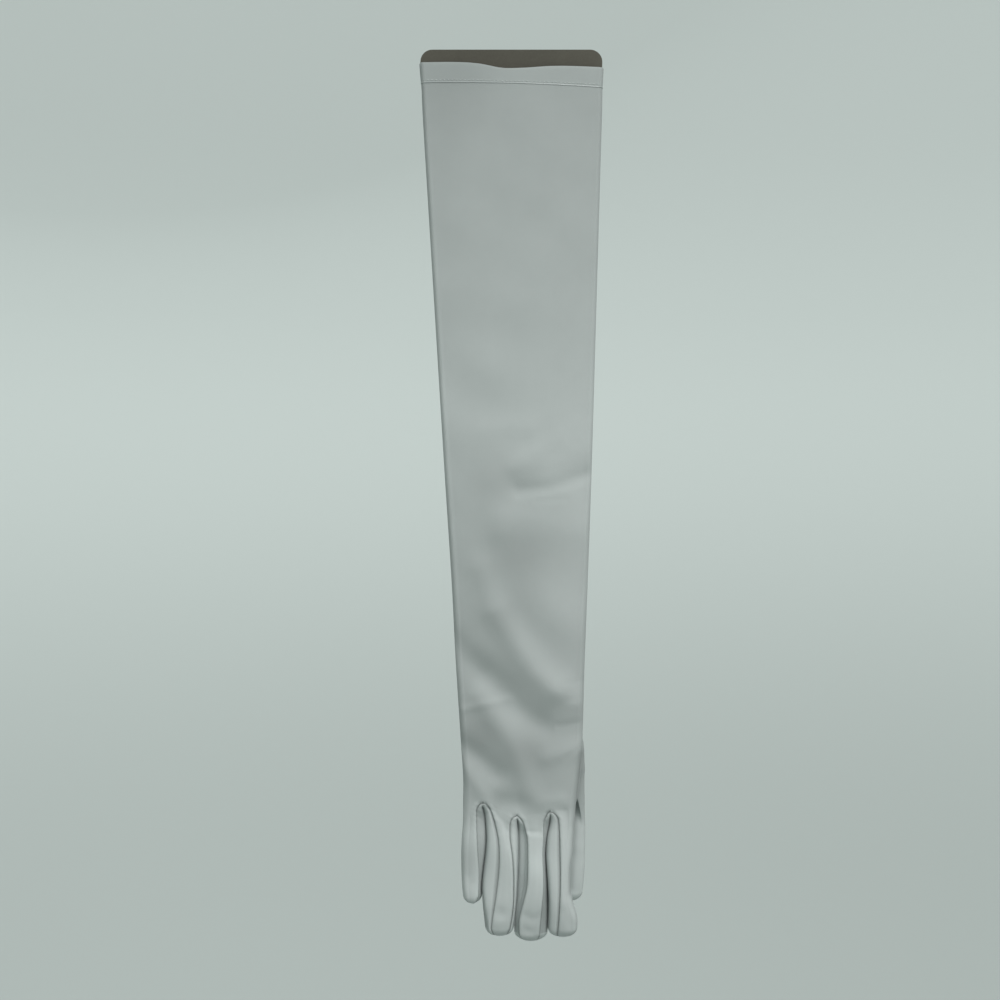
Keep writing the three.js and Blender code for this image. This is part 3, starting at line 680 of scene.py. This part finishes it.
def fingerRing(index, top, v):
    steps, side = glove["stripSteps"], glove["foldSteps"]
    tipStart = fingerShape["tip"][index] + fingerForm["tipHeight"]
    levels = mix(top[:, 2], tipStart, v)
    depth = fingerShape["depth"][index] * (1 - fingerForm["taper"] * v)
    backRight, backLeft = steps + side, 2 * steps + side
    left = fingerSide(index, -1, levels[0], levels[backLeft + side // 2], levels[backLeft])
    right = fingerSide(index, 1, levels[steps], levels[steps + side // 2], levels[backRight])
    shares = stripCuts
    across = 2 * shares - 1
    shoulder = mix(left[3], right[3], shares)
    panelY = depth * mix(1, shoulder, across ** 2)
    turn = np.radians(sideDegrees)
    parts = [np.stack([mix(left[1], right[1], shares), -panelY], axis=1)]
    for way, (edge, seam, palm, sideShoulder) in ((1, right), (-1, left)):
        letter = "R" if way > 0 else "L"
        sink, plump = fingerShape["sink" + letter][index], fingerShape["plump" + letter][index]
        gap = index if way > 0 else index - 1
        if 0 <= gap <= 2:
            shut = smoothStep(np.degrees(turn), *gapShape["turnShut"])
            level = levels[steps + side // 2 if way > 0 else 2 * steps + side + side // 2]
            below = gapRows["slitZ"][gap] - level
            touch = 0.5 * (readTable(fingerTables[gap], level, "edgeR")
                           + readTable(fingerTables[gap + 1], level, "edgeL"))
            touch = mix(gapRows["slitX"][gap], touch, arch(below / gapShape["slitHeight"]))
            touch += way * gapShape["press"]
            opened = way * gapRows["open"][gap] * smoothStep(below, 0, gapShape["slitHeight"])
            edge = mix(edge - opened, touch, shut)
        reach = np.cos(turn) ** np.where(turn < 0, plump, 1)
        x = mix(np.where(turn < 0, seam, palm), edge, reach)
        below = top[steps if way > 0 else 0, 2] - levels[steps if way > 0 else 0]
        sunk = sink * smoothStep(below, 0, gapShape["sinkRun"])
        fall = 1 - np.exp(-np.cos(turn) / gapShape["sinkEdge"])
        lift = np.sign(turn) * np.abs(np.sin(turn)) ** np.where(turn < 0, plump, 1)
        y = depth * sideShoulder * lift * np.where(turn < 0, 1 - sunk * fall, 1)
        parts.append(np.stack([x, y], axis=1)[::way])
        if way > 0:
            parts.append(np.stack([mix(left[2], right[2], shares), panelY], axis=1)[::-1])
    flat = np.concatenate(parts)
    # points that slide sideways near the knuckles also follow the slope of the knuckle line
    inner = np.r_[1:steps, steps + side + 1:2 * steps + side]
    slope = readTable(knuckleLine, flat[inner, 0], "z") - top[inner, 2]
    early = 1 - smoothStep(top[inner, 2] - levels[inner], *gapShape["slopeFade"])
    levels[inner] += np.minimum(slope, 0) * early
    y = mix(top[:, 1], flat[:, 1], smoothStep(top[:, 2] - levels, 0, fingerForm["blend"]))
    return np.stack([flat[:, 0], y, levels], axis=1)


def closeTip(lastRing, height, mirror, pieceOfSlot):
    points = allPoints()[lastRing]
    slots = len(points)
    partner = (mirror - np.arange(slots)) % slots
    low, high = points[:, 0].min(), points[:, 0].max()
    middle, half = (low + high) / 2, (high - low) / 2
    depthMiddle = points[:, 1].mean()
    own = (points[:, 0] - middle) / half
    upper = lastRing
    for row in range(1, glove["tipRows"] + 1):
        turn = math.radians(90 * row / glove["tipRows"])
        t = math.sin(turn)
        across = mix(own, (own + own[partner]) / 2, t)
        x = middle + half * across * math.sqrt(1 - t * t / 2)
        y = depthMiddle + (points[:, 1] - depthMiddle) * math.cos(turn)
        z = points[:, 2] - height * t * np.sqrt(1 - across ** 2 / 2)
        if row < glove["tipRows"]:
            lower = addPoints(np.stack([x, y, z], axis=1))
        else:
            first = np.minimum(np.arange(slots), partner)
            kept = np.unique(first)
            ids = addPoints(np.stack([x, np.full(slots, depthMiddle), z], axis=1)[kept])
            lower = ids[np.searchsorted(kept, first)]
        addBand(upper, lower, pieceOfSlot)
        upper = lower


def makeFinger(index, knuckles, crowns):
    steps, side = glove["stripSteps"], glove["foldSteps"]
    frontStart, backEnd = index * steps, 8 * steps + side
    right = crowns[index][1:-1] if index < 3 else knuckles[4 * steps + 1:4 * steps + side]
    left = crowns[index - 1][1:-1][::-1] if index > 0 else knuckles[backEnd + 1:]
    palm = knuckles[backEnd - frontStart - steps:backEnd - frontStart + 1]
    top = np.concatenate([knuckles[frontStart:frontStart + steps + 1], right, palm, left])
    pieces = ["trank"] * len(top)
    if index < 3:
        pieces[steps:steps + side] = [gapNames[index]] * side
    if index > 0:
        pieces[2 * steps + side:] = [gapNames[index - 1]] * side
    topPoints = allPoints()[top]
    firstId = pointCount()
    upper = top
    # painted shade inside the slits between fingers, deepest halfway round each side strip
    inSlit = bell(sideDegrees, gapShape["slitTurn"])
    sideSlots = {1: slice(steps + 1, steps + side), -1: slice(2 * steps + side + 1, None)}
    for row in range(1, glove["fingerRows"] + 1):
        ring = fingerRing(index, topPoints, (row / glove["fingerRows"]) ** glove["rowCrowding"])
        lower = addPoints(ring)
        addBand(upper, lower, pieces)
        for way, slots in sideSlots.items():
            gap = index if way > 0 else index - 1
            if 0 <= gap <= 2:
                below = gapRows["slitZ"][gap] - ring[slots, 2]
                shaded = inSlit * smoothStep(below, 0, gapShape["slitShadeRun"])
                slitShadePoints.append((lower[slots], shaded))
                # painted shade on the side strips, growing below the top of the slit
                stripShaded = smoothStep(below, 0, gapShape["stripShadeRun"])
                stripShadePoints.append((lower[slots], mix(1, stripShadeTable.get((index, way), 1), stripShaded)))
        upper = lower
    closeTip(upper, fingerForm["tipHeight"], 2 * steps + side, pieces)
    tipRanges.append((firstId, pointCount(), fingerShape["tip"][index]))


def thumbRing(z, wide, narrow):
    step = np.arange(wide + narrow)
    half = np.where(step < wide, -135 + 90 * step / wide, -45 + 90 * (step - wide) / narrow)
    angle = np.radians(np.concatenate([half, half + 180]))
    bulge = lambda value: np.sign(value) * np.abs(value) ** thumbForm["roundness"]
    left, right, front, back = (
        readTable(thumbSections, z, name) for name in ("left", "right", "front", "back"))
    x = mix(left, right, 0.5 + 0.5 * bulge(np.cos(angle)))
    y = mix(front, back, 0.5 + 0.5 * bulge(np.sin(angle)))
    return np.stack([x, y, np.full(len(x), float(z))], axis=1)


def makeThumb(rings, holeRows, holeSlots):
    top, bottom = holeRows
    first, last = holeSlots
    wide, narrow = last - first, bottom - top
    loop = np.concatenate([
        rings[bottom][last:first:-1],
        [rings[row][first] for row in range(bottom, top, -1)],
        rings[top][first:last],
        [rings[row][last] for row in range(top, bottom)],
    ])
    points = allPoints()
    start = points[loop]
    (rightX, _, _), (leftX, _, topZ) = points[rings[top][first]], points[rings[top][last]]
    bottomZ = points[rings[bottom][last]][2]
    high = np.clip((start[:, 2] - bottomZ) / (topZ - bottomZ), 0, 1)
    outer = np.clip((start[:, 0] - leftX) / (rightX - leftX), 0, 1)
    startZ = thumbSections["z"][0]
    goal = thumbRing(startZ, wide, narrow)
    form = thumbForm
    upper = loop
    pieces = ["thumb"] * len(loop)
    for row in range(1, form["loftRows"] + 1):
        w = row / form["loftRows"]
        x = hermite(start[:, 0], form["side"] * outer ** 4, goal[:, 0], 0, w)
        y = hermite(start[:, 1], mix(form["outBottom"], form["outTop"], high), goal[:, 1], 0, w)
        z = hermite(start[:, 2], -mix(form["downBottom"], form["downTop"], high),
                    goal[:, 2], -mix(form["endBottom"], form["endTop"], high), w)
        lower = addPoints(np.stack([x, y, z], axis=1))
        addBand(upper, lower, pieces)
        upper = lower
    tipStart = form["tip"] + fingerForm["tipHeight"]
    for row in range(1, form["tubeRows"] + 1):
        lower = addPoints(thumbRing(mix(startZ, tipStart, row / form["tubeRows"]), wide, narrow))
        addBand(upper, lower, pieces)
        upper = lower
    closeTip(upper, fingerForm["tipHeight"], 2 * wide + narrow, pieces)


# relief: folds, ripples, and the valleys that the seams draw in; also the width of the painted seam
# shade and the strength of the painted slit shade
seamLook = {
    "depth": 0.5, "width": 0.42, "welt": 0.26, "weltAt": 1.5, "weltWidth": 0.9, "tipFade": 5.0,
    "pucker": 0.09, "puckerReach": 2.4, "puckerLength": 3.7, "puckerSlant": 0.6, "puckerDrift": 5.3,
    "shadeWidth": 0.42, "slitShade": 0.9, "highest": -405.0, "onSeam": 0.01, "far": 99.0,
}


# the turned hem stands proud, and the arm sinks a little under it
hemLook = {
    "proud": 0.15, "dip": 0.25, "dipLevel": -14.0, "dipReach": 8.0,
    "roundTop": (-0.6, 1.0), "roundBottom": (-0.5, 1.6),
}


# distance to a line, the distance to its upper side, and how far past its ends
def nearestOnLine(line, x, z):
    away = np.full(len(x), 1e9)
    signed, beyond = np.zeros(len(x)), np.zeros(len(x))
    for (x1, z1), (x2, z2) in zip(line, line[1:]):
        dx, dz = x2 - x1, z2 - z1
        length = math.hypot(dx, dz)
        along = ((x - x1) * dx + (z - z1) * dz) / length ** 2
        held = np.clip(along, 0, 1)
        distance = np.hypot(x - x1 - held * dx, z - z1 - held * dz)
        nearer = distance < away
        away = np.where(nearer, distance, away)
        signed = np.where(nearer, ((z - z1) * dx - (x - x1) * dz) / length, signed)
        beyond = np.where(nearer, np.abs(along - held) * length, beyond)
    return away, signed, beyond


def foldField(folds, x, z):
    height = np.zeros(len(x))
    for width, tall, line in folds:
        height += tall * bell(nearestOnLine(line, x, z)[0], width)
    return height


# where a finger's panel starts as a step: the hand sinks towards it and the panel stands up
panelSteps = {
    "depth": 0.7, "reach": 6.0, "edge": 2.5, "fade": 3.0, "clear": (0.2, 2.6),
    "lines": [
        [(-11.0, -468.0), (-9.6, -469.2), (-5.1, -473.9), (-1.3, -482), (0.0, -488)],
        [(10.0, -480.1), (15, -480.6), (19.0, -480.3)],
    ],
}


def stepField(x, z):
    height = np.zeros(len(x))
    for line in panelSteps["lines"]:
        signed, beyond = nearestOnLine(line, x, z)[1:]
        above = np.exp(-np.maximum(signed, 0) / panelSteps["reach"])
        below = bell(np.minimum(signed, 0), panelSteps["edge"])
        fade = bell(beyond, panelSteps["fade"])
        height -= panelSteps["depth"] * fade * above * below
    return height


# the front and the back of the hand count in full this far from the middle of its thickness
frontTurn = 3.5

# how far the front of the hand sinks, and the front of each finger swells, at each level
frontProfile = table("z swell", (-385, 0.0), (-425, -0.3), (-452, -1.2), (-468, -1.5), (-476, -1.1),
                     (-490, 0.3), (-510, 1.9), (-524, 2.4), (-538, 1.6), (-550, 0.6))


# painted shade along the soft crease between the hand and the thumb behind it
thumbCreaseShade = {"shade": 0.48, "width": 2.3, "deepest": 9.0,
               "line": [(44.0, -432), (40.8, -466), (38.6, -500), (37.2, -518)]}

# fine ripples grow from low to high as the cloth gets looser down the arm
rippleLook = {
    "waves": 9, "spread": 0.45, "lengths": (0.6, 1.6), "loose": (20, 300),
    "front": {"low": 0.10, "high": 0.28, "seed": 4, "length": 34, "lean": 0.9},
    "back": {"low": 0.12, "high": 0.32, "seed": 9, "length": 38, "lean": 2.1},
    "thumb": {"low": 0.12, "high": 0.12, "seed": 15, "length": 18, "lean": 1.2},
}


def ripples(place, x, z):
    look = rippleLook[place]
    rng = np.random.default_rng(look["seed"])
    total = np.zeros(len(x))
    for _ in range(rippleLook["waves"]):
        angle = look["lean"] + rng.normal(0, rippleLook["spread"])
        wave = 2 * math.pi / (look["length"] * rng.uniform(*rippleLook["lengths"]))
        warp = 3 * np.sin(z / 31 + rng.uniform(0, 6)) + 2 * np.sin(x / 17 + rng.uniform(0, 6))
        along = x * math.cos(angle) + z * math.sin(angle) + warp
        total += np.sin(wave * along + rng.uniform(0, 6))
    return mix(look["low"], look["high"], smoothStep(-z, *rippleLook["loose"])) * (total / 3)


def skinNormals(points, faces):
    quads = np.concatenate(faces)
    across = points[quads[:, 2]] - points[quads[:, 0]]
    other = points[quads[:, 3]] - points[quads[:, 1]]
    normal = np.cross(across, other)
    normal /= np.maximum(np.linalg.norm(normal, axis=1, keepdims=True), 1e-12)
    total = np.zeros_like(points)
    for corner in range(4):
        np.add.at(total, quads[:, corner], normal)
    return total / np.maximum(np.linalg.norm(total, axis=1, keepdims=True), 1e-12)


def seamDistances(points, pieces):
    users = np.zeros(len(points), int)
    for faces in pieces.values():
        users[np.unique(np.concatenate(faces))] += 1
    hemIds = np.unique(np.concatenate(pieces["hem"]))
    isSeam = users > 1
    isSeam[hemIds] = False
    seams = np.flatnonzero(isSeam)
    tree = kdtree.KDTree(len(seams))
    for i, place in enumerate(seams):
        tree.insert(points[place], i)
    tree.balance()
    distance = np.full(len(points), seamLook["far"])
    for i in np.flatnonzero(points[:, 2] < seamLook["highest"]):
        distance[i] = tree.find(points[i])[2]
    return distance


def shapeSkin():
    points = allPoints()
    everyFace = [quads for faces in skinFaces.values() for quads in faces]
    normals = skinNormals(points, everyFace)
    x, z = points[:, 0], points[:, 2]
    isThumb = np.zeros(len(points), bool)
    isThumb[np.unique(np.concatenate(skinFaces["thumb"]))] = True
    isStrip = np.zeros(len(points), bool)
    for name in gapNames:
        isStrip[np.unique(np.concatenate(skinFaces[name]))] = True
    distance = seamDistances(points, skinFaces)
    clear = smoothStep(distance, *panelSteps["clear"]) * ~isStrip
    facing = smoothStep(-points[:, 1], 0, frontTurn) * ~isThumb
    behind = smoothStep(points[:, 1], 0, frontTurn) * ~isThumb
    points[:, 1] -= facing * (foldField(frontFolds, x, z) + clear * stepField(x, z)
                              + ripples("front", x, z) + readTable(frontProfile, z, "swell"))
    points[:, 1] += behind * (foldField(backFolds, x, z) + ripples("back", x, z))
    look = seamLook
    relief = -look["depth"] * bell(distance, look["width"])
    relief += look["welt"] * bell(distance - look["weltAt"], look["weltWidth"])
    slanted = (z + look["puckerSlant"] * x) / look["puckerLength"]
    pucker = np.sin(2 * math.pi * slanted + 2 * np.sin(z / look["puckerDrift"]))
    relief += look["pucker"] * pucker * bell(distance, look["puckerReach"])
    for first, last, tip in tipRanges:
        relief[first:last] *= smoothStep(z[first:last] - tip, 0, look["tipFade"])
    relief += np.where(isThumb, ripples("thumb", x, z), 0)
    relief -= hemLook["dip"] * bell(z - hemLook["dipLevel"], hemLook["dipReach"])
    seamIds = np.flatnonzero(distance < look["onSeam"])
    normals[seamIds] = skinNormals(points, skinFaces["trank"])[seamIds]
    points += normals * relief[:, None]
    # painted shade mask: shadow along the seam lines
    paintedShade = bell(distance, look["shadeWidth"])
    # painted shade in the finger slits
    for ids, amount in slitShadePoints:
        paintedShade[ids] = np.maximum(paintedShade[ids], look["slitShade"] * amount)
    # painted shade along the crease between hand and thumb, on the nearer surfaces
    away = nearestOnLine(thumbCreaseShade["line"], x, z)[0]
    creaseShade = thumbCreaseShade["shade"] * bell(away, thumbCreaseShade["width"])
    paintedShade = np.maximum(paintedShade, creaseShade * (points[:, 1] < thumbCreaseShade["deepest"]))
    # painted shade of the side strips
    stripShade = np.ones(len(points))
    for ids, tone in stripShadePoints:
        stripShade[ids] = tone
    return points, skinNormals(points, everyFace), paintedShade, stripShade


rings, holeRows, holeSlots = makeArm()
crowns = makeCrowns(rings[-1])
for index in range(4):
    makeFinger(index, rings[-1], crowns)
makeThumb(rings, holeRows, holeSlots)
points, normals, paintedShade, stripShade = shapeSkin()
print("glove surface:", len(points), "points")


# four-sided faces between rings of points that follow each other
def bandFaces(first, rings, sides):
    faces = []
    for start in range(first, first + (rings - 1) * sides, sides):
        for s in range(sides):
            a, b = start + s, start + (s + 1) % sides
            faces.append((a, b, b + sides, a + sides))
    return faces


def newMesh(name, verts, faces, smooth=True):
    mesh = bpy.data.meshes.new(name)
    mesh.from_pydata(verts, [], faces)
    mesh.polygons.foreach_set("use_smooth", [smooth] * len(mesh.polygons))
    return mesh


def linkPiece(name, mesh, material, replaced=None):
    piece = addObject(name, mesh)
    mesh.materials.append(material)
    if replaced:
        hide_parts(replaced)
    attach(piece, "root")
    return piece


# painted light and shade down the arm: darker near the top and over the hand, lighter mid-arm and over
# the fingers
paintedLightLevels = table("z tone", (10, 0.84), (-30, 0.87), (-90, 0.93), (-150, 0.98), (-200, 1.03),
                     (-235, 1.03), (-290, 0.96), (-330, 0.92), (-390, 0.87), (-455, 0.88),
                     (-474, 0.98), (-482, 1.07), (-520, 1.06), (-550, 1.0))
# painted shade in soft patches where it is darker, or painted light where the drop is negative: (x, z),
# reach, drop
paintedLightShadePatches = [
    ((-34, -14), 22, 0.10),
    ((-9, -262), 18, 0.11),
    ((5, -306), 20, 0.15),
    ((-1, -342), 13, 0.08),
    ((-20, -418), 13, 0.15),
    ((12, -428), 15, 0.14),
    ((-27, -498), 11, 0.12),
    ((14, -500), 9, -0.12),
]


def setTone(mesh, name, values):
    mesh.attributes.new(name, "FLOAT", "POINT").data.foreach_set("value", np.tile(values, 2))


# a wall of cloth: the outer surface, the inner one, and a rim round each border
def makeClothPiece(node, thick, material, lift=None):
    quads = np.concatenate(skinFaces[node])
    used, local = np.unique(quads, return_inverse=True)
    local = local.reshape(-1, 4)
    count = len(used)
    outer = points[used]
    if lift is not None:
        outer = outer + normals[used] * lift[used][:, None]
    inner = outer - normals[used] * thick
    starts, ends = local.ravel(), np.roll(local, -1, axis=1).ravel()
    border = ~np.isin(starts * count + ends, ends * count + starts)
    a, b = starts[border], ends[border]
    rim = np.stack([b, a, a + count, b + count], axis=1)
    faces = np.concatenate([local, local[:, ::-1] + count, rim])
    verts = (np.concatenate([outer, inner]) * mm).tolist()
    mesh = newMesh(node + "_cloth", verts, faces.tolist())
    x, z = points[used][:, 0], points[used][:, 2]
    # painted light and shade down the arm and in patches, times the painted shade of the side strips
    tone = readTable(paintedLightLevels, z, "tone") * stripShade[used]
    for (patchX, patchZ), reach, drop in paintedLightShadePatches:
        tone *= 1 - drop * bell(np.hypot(x - patchX, z - patchZ), reach)
    # painted shade mask for seams, slits and the thumb crease
    setTone(mesh, "paintedShadeMask", paintedShade[used])
    setTone(mesh, "paintedLightLevel", tone)
    linkPiece(node + "_cloth", mesh, material, node)
    pairs = np.zeros(2 * len(mesh.edges), int)
    mesh.edges.foreach_get("vertices", pairs)
    pairs = np.sort(pairs.reshape(-1, 2), axis=1)
    rims = np.sort(np.concatenate([np.stack([a, b], axis=1), np.stack([a, b], axis=1) + count]), axis=1)
    sharp = np.isin(pairs[:, 0] * 2 * count + pairs[:, 1], rims[:, 0] * 2 * count + rims[:, 1])
    mesh.edges.foreach_set("use_edge_sharp", sharp)


def hemLift():
    lift = np.zeros(len(points))
    for row, level in enumerate(hemLevels):
        top = smoothStep(-level, *hemLook["roundTop"])
        low = smoothStep(glove["hemDepth"] + level, *hemLook["roundBottom"])
        lift[rings[row]] = hemLook["proud"] * top * low
    lift[rings[len(hemLevels) - 1]] += hemLook["dip"]
    return lift


makeClothPiece("trank", glove["cloth"], satin)
for name in gapNames:
    makeClothPiece(name, glove["cloth"], satin)
makeClothPiece("thumb", glove["cloth"], satin)
makeClothPiece("hem", glove["hemCloth"], hemSatin, hemLift())
print("cloth pieces made")


# one row of stitches round the hem
stitchLook = {"level": -11.4, "pitch": 2.6, "length": 1.9, "radius": 0.17, "lift": 0.06,
              "bluntness": 0.12, "bite": 0.22, "sides": 6, "rings": 5}


def makeHemStitches():
    ring = rings[hemLevels.index(stitchLook["level"])]
    outward = normals[ring]
    path = points[ring] + outward * hemLook["proud"]
    ends = np.vstack([path, path[:1]])
    lengths = np.concatenate([[0], np.cumsum(np.linalg.norm(np.diff(ends, axis=0), axis=1))])
    count = int(lengths[-1] / stitchLook["pitch"])
    sides, ringCount = stitchLook["sides"], stitchLook["rings"]
    verts, faces = [], []
    for i in range(count):
        spots = (np.array([0.5, -0.5]) * stitchLook["length"] + (i + 0.5) * lengths[-1] / count)
        ahead, behind = (np.array([np.interp(spot % lengths[-1], lengths, ends[:, axis])
                                   for axis in range(3)]) for spot in spots)
        nearest = np.searchsorted(lengths, spots.mean() % lengths[-1]) % len(ring)
        up = outward[nearest]
        along = ahead - behind
        side = np.cross(along / np.linalg.norm(along), up)
        middle = (ahead + behind) / 2 + up * stitchLook["lift"]
        first = len(verts)
        for r in range(ringCount):
            part = r / (ringCount - 1)
            fromMiddle = (2 * part - 1) ** 2
            wide = stitchLook["radius"] * math.sqrt(max(stitchLook["bluntness"], 1 - fromMiddle))
            dip = -stitchLook["bite"] * fromMiddle
            for s in range(sides):
                angle = 2 * math.pi * s / sides
                spot = middle + along * (part - 0.5) + up * (dip + wide * math.sin(angle))
                verts.append(spot + side * wide * math.cos(angle))
        faces += bandFaces(first, ringCount, sides)
        faces.append([first + s for s in range(sides)][::-1])
        faces.append([first + (ringCount - 1) * sides + s for s in range(sides)])
    mesh = newMesh("hem_stitches", (np.array(verts) * mm).tolist(), faces)
    linkPiece("hem_stitches", mesh, threadMaterial)
    return count


print("hem stitches:", makeHemStitches())


# the card that stiffens the arm
card = {"top": 10.0, "bottom": -259.0, "corner": 8.0, "cornerSteps": 14, "thick": 1.0,
        "inset": 0.75, "bevel": 0.18, "bevelSteps": 3}


def makeCard():
    run = lambda z: z / armSections["z"][2]
    leftAt = lambda z: mix(armSections["left"][0], armSections["left"][2], run(z)) + card["inset"]
    rightAt = lambda z: mix(armSections["right"][0], armSections["right"][2], run(z)) - card["inset"]
    top, bottom, corner = card["top"], card["bottom"], card["corner"]
    outline = [(leftAt(bottom), bottom), (rightAt(bottom), bottom)]
    for edgeAt, inward, turned in ((rightAt, -corner, 0), (leftAt, corner, 90)):
        for step in range(card["cornerSteps"] + 1):
            angle = math.radians(turned + 90 * step / card["cornerSteps"])
            z = top - corner + corner * math.sin(angle)
            outline.append((edgeAt(z) + inward + corner * math.cos(angle), z))
    count = len(outline)
    verts = [(x * mm, y * card["thick"] * mm, z * mm) for y in (-0.5, 0.5) for x, z in outline]
    faces = [list(range(count)), list(range(2 * count - 1, count - 1, -1))]
    faces += [[i, i + count, (i + 1) % count + count, (i + 1) % count] for i in range(count)]
    mesh = newMesh("card", verts, faces, smooth=False)
    piece = linkPiece("card_sheet", mesh, cardMaterial, "stiffener_card")
    edge = piece.modifiers.new("worn edge", "BEVEL")
    edge.width = card["bevel"] * mm
    edge.segments = card["bevelSteps"]
    edge.harden_normals = True


makeCard()
print("card made")


# floor and wall in one round sweep
def makeSweep():
    low, radius, bend = studio["floorLevel"], studio["floorRadius"], studio["sweepRadius"]
    profile = [(0.001, low), (radius * 0.5, low), (radius, low)]
    for step in range(1, studio["bendSteps"] + 1):
        angle = math.radians(90 * step / studio["bendSteps"])
        profile.append((radius + bend * math.sin(angle), low + bend * (1 - math.cos(angle))))
    profile.append((radius + bend, studio["wallTop"]))
    sides = studio["wallSides"]
    verts = [(r * math.cos(2 * math.pi * s / sides), r * math.sin(2 * math.pi * s / sides), z)
             for r, z in profile for s in range(sides)]
    faces = bandFaces(0, len(profile), sides) + [tuple(range(sides))]
    mesh = newMesh("studio_sweep", verts, faces)
    material, shader = newMaterial("studio paper")
    setInputs(shader, {
        "Base Color": studio["wallColour"], "Emission Color": studio["wallGlowColour"],
        "Roughness": studio["wallRoughness"], "Specular IOR Level": studio["wallSpecular"]})
    tree = material.node_tree
    place = addNode(tree, "TexCoord")
    height = addNode(tree, "SeparateXYZ", None, {"Vector": place.outputs["Object"]})
    level, fall = (addNode(
        tree, "MapRange",
        {"From Min": levels[0], "From Max": levels[1], "To Min": glow[0], "To Max": glow[1]},
        {"Value": height.outputs["Z"]}, interpolation_type="SMOOTHSTEP").outputs[0]
        for levels, glow in ((studio["wallGlowLevels"], studio["wallGlow"]),
                             (studio["wallTopLevels"], studio["wallTopFall"])))
    seen = addNode(tree, "LightPath")
    both = addMath(tree, "MULTIPLY", level, fall)
    glow = addMath(tree, "MULTIPLY", seen.outputs["Is Camera Ray"], both)
    tree.links.new(glow, shader.inputs["Emission Strength"])
    mesh.materials.append(material)
    sweep = addObject("studio_sweep", mesh)


makeSweep()
for name, lamp in studio["lights"].items():
    addSoftbox(name + " softbox", lamp["at"], lamp["size"], lamp["power"])
world = bpy.data.worlds.new("studio air")
bpy.context.scene.world = world
world.use_nodes = True
setInputs(world.node_tree.nodes["Background"],
          {"Color": studio["worldColour"], "Strength": studio["worldStrength"]})
bpy.context.scene.view_settings.view_transform = "Standard"
print("studio ready")
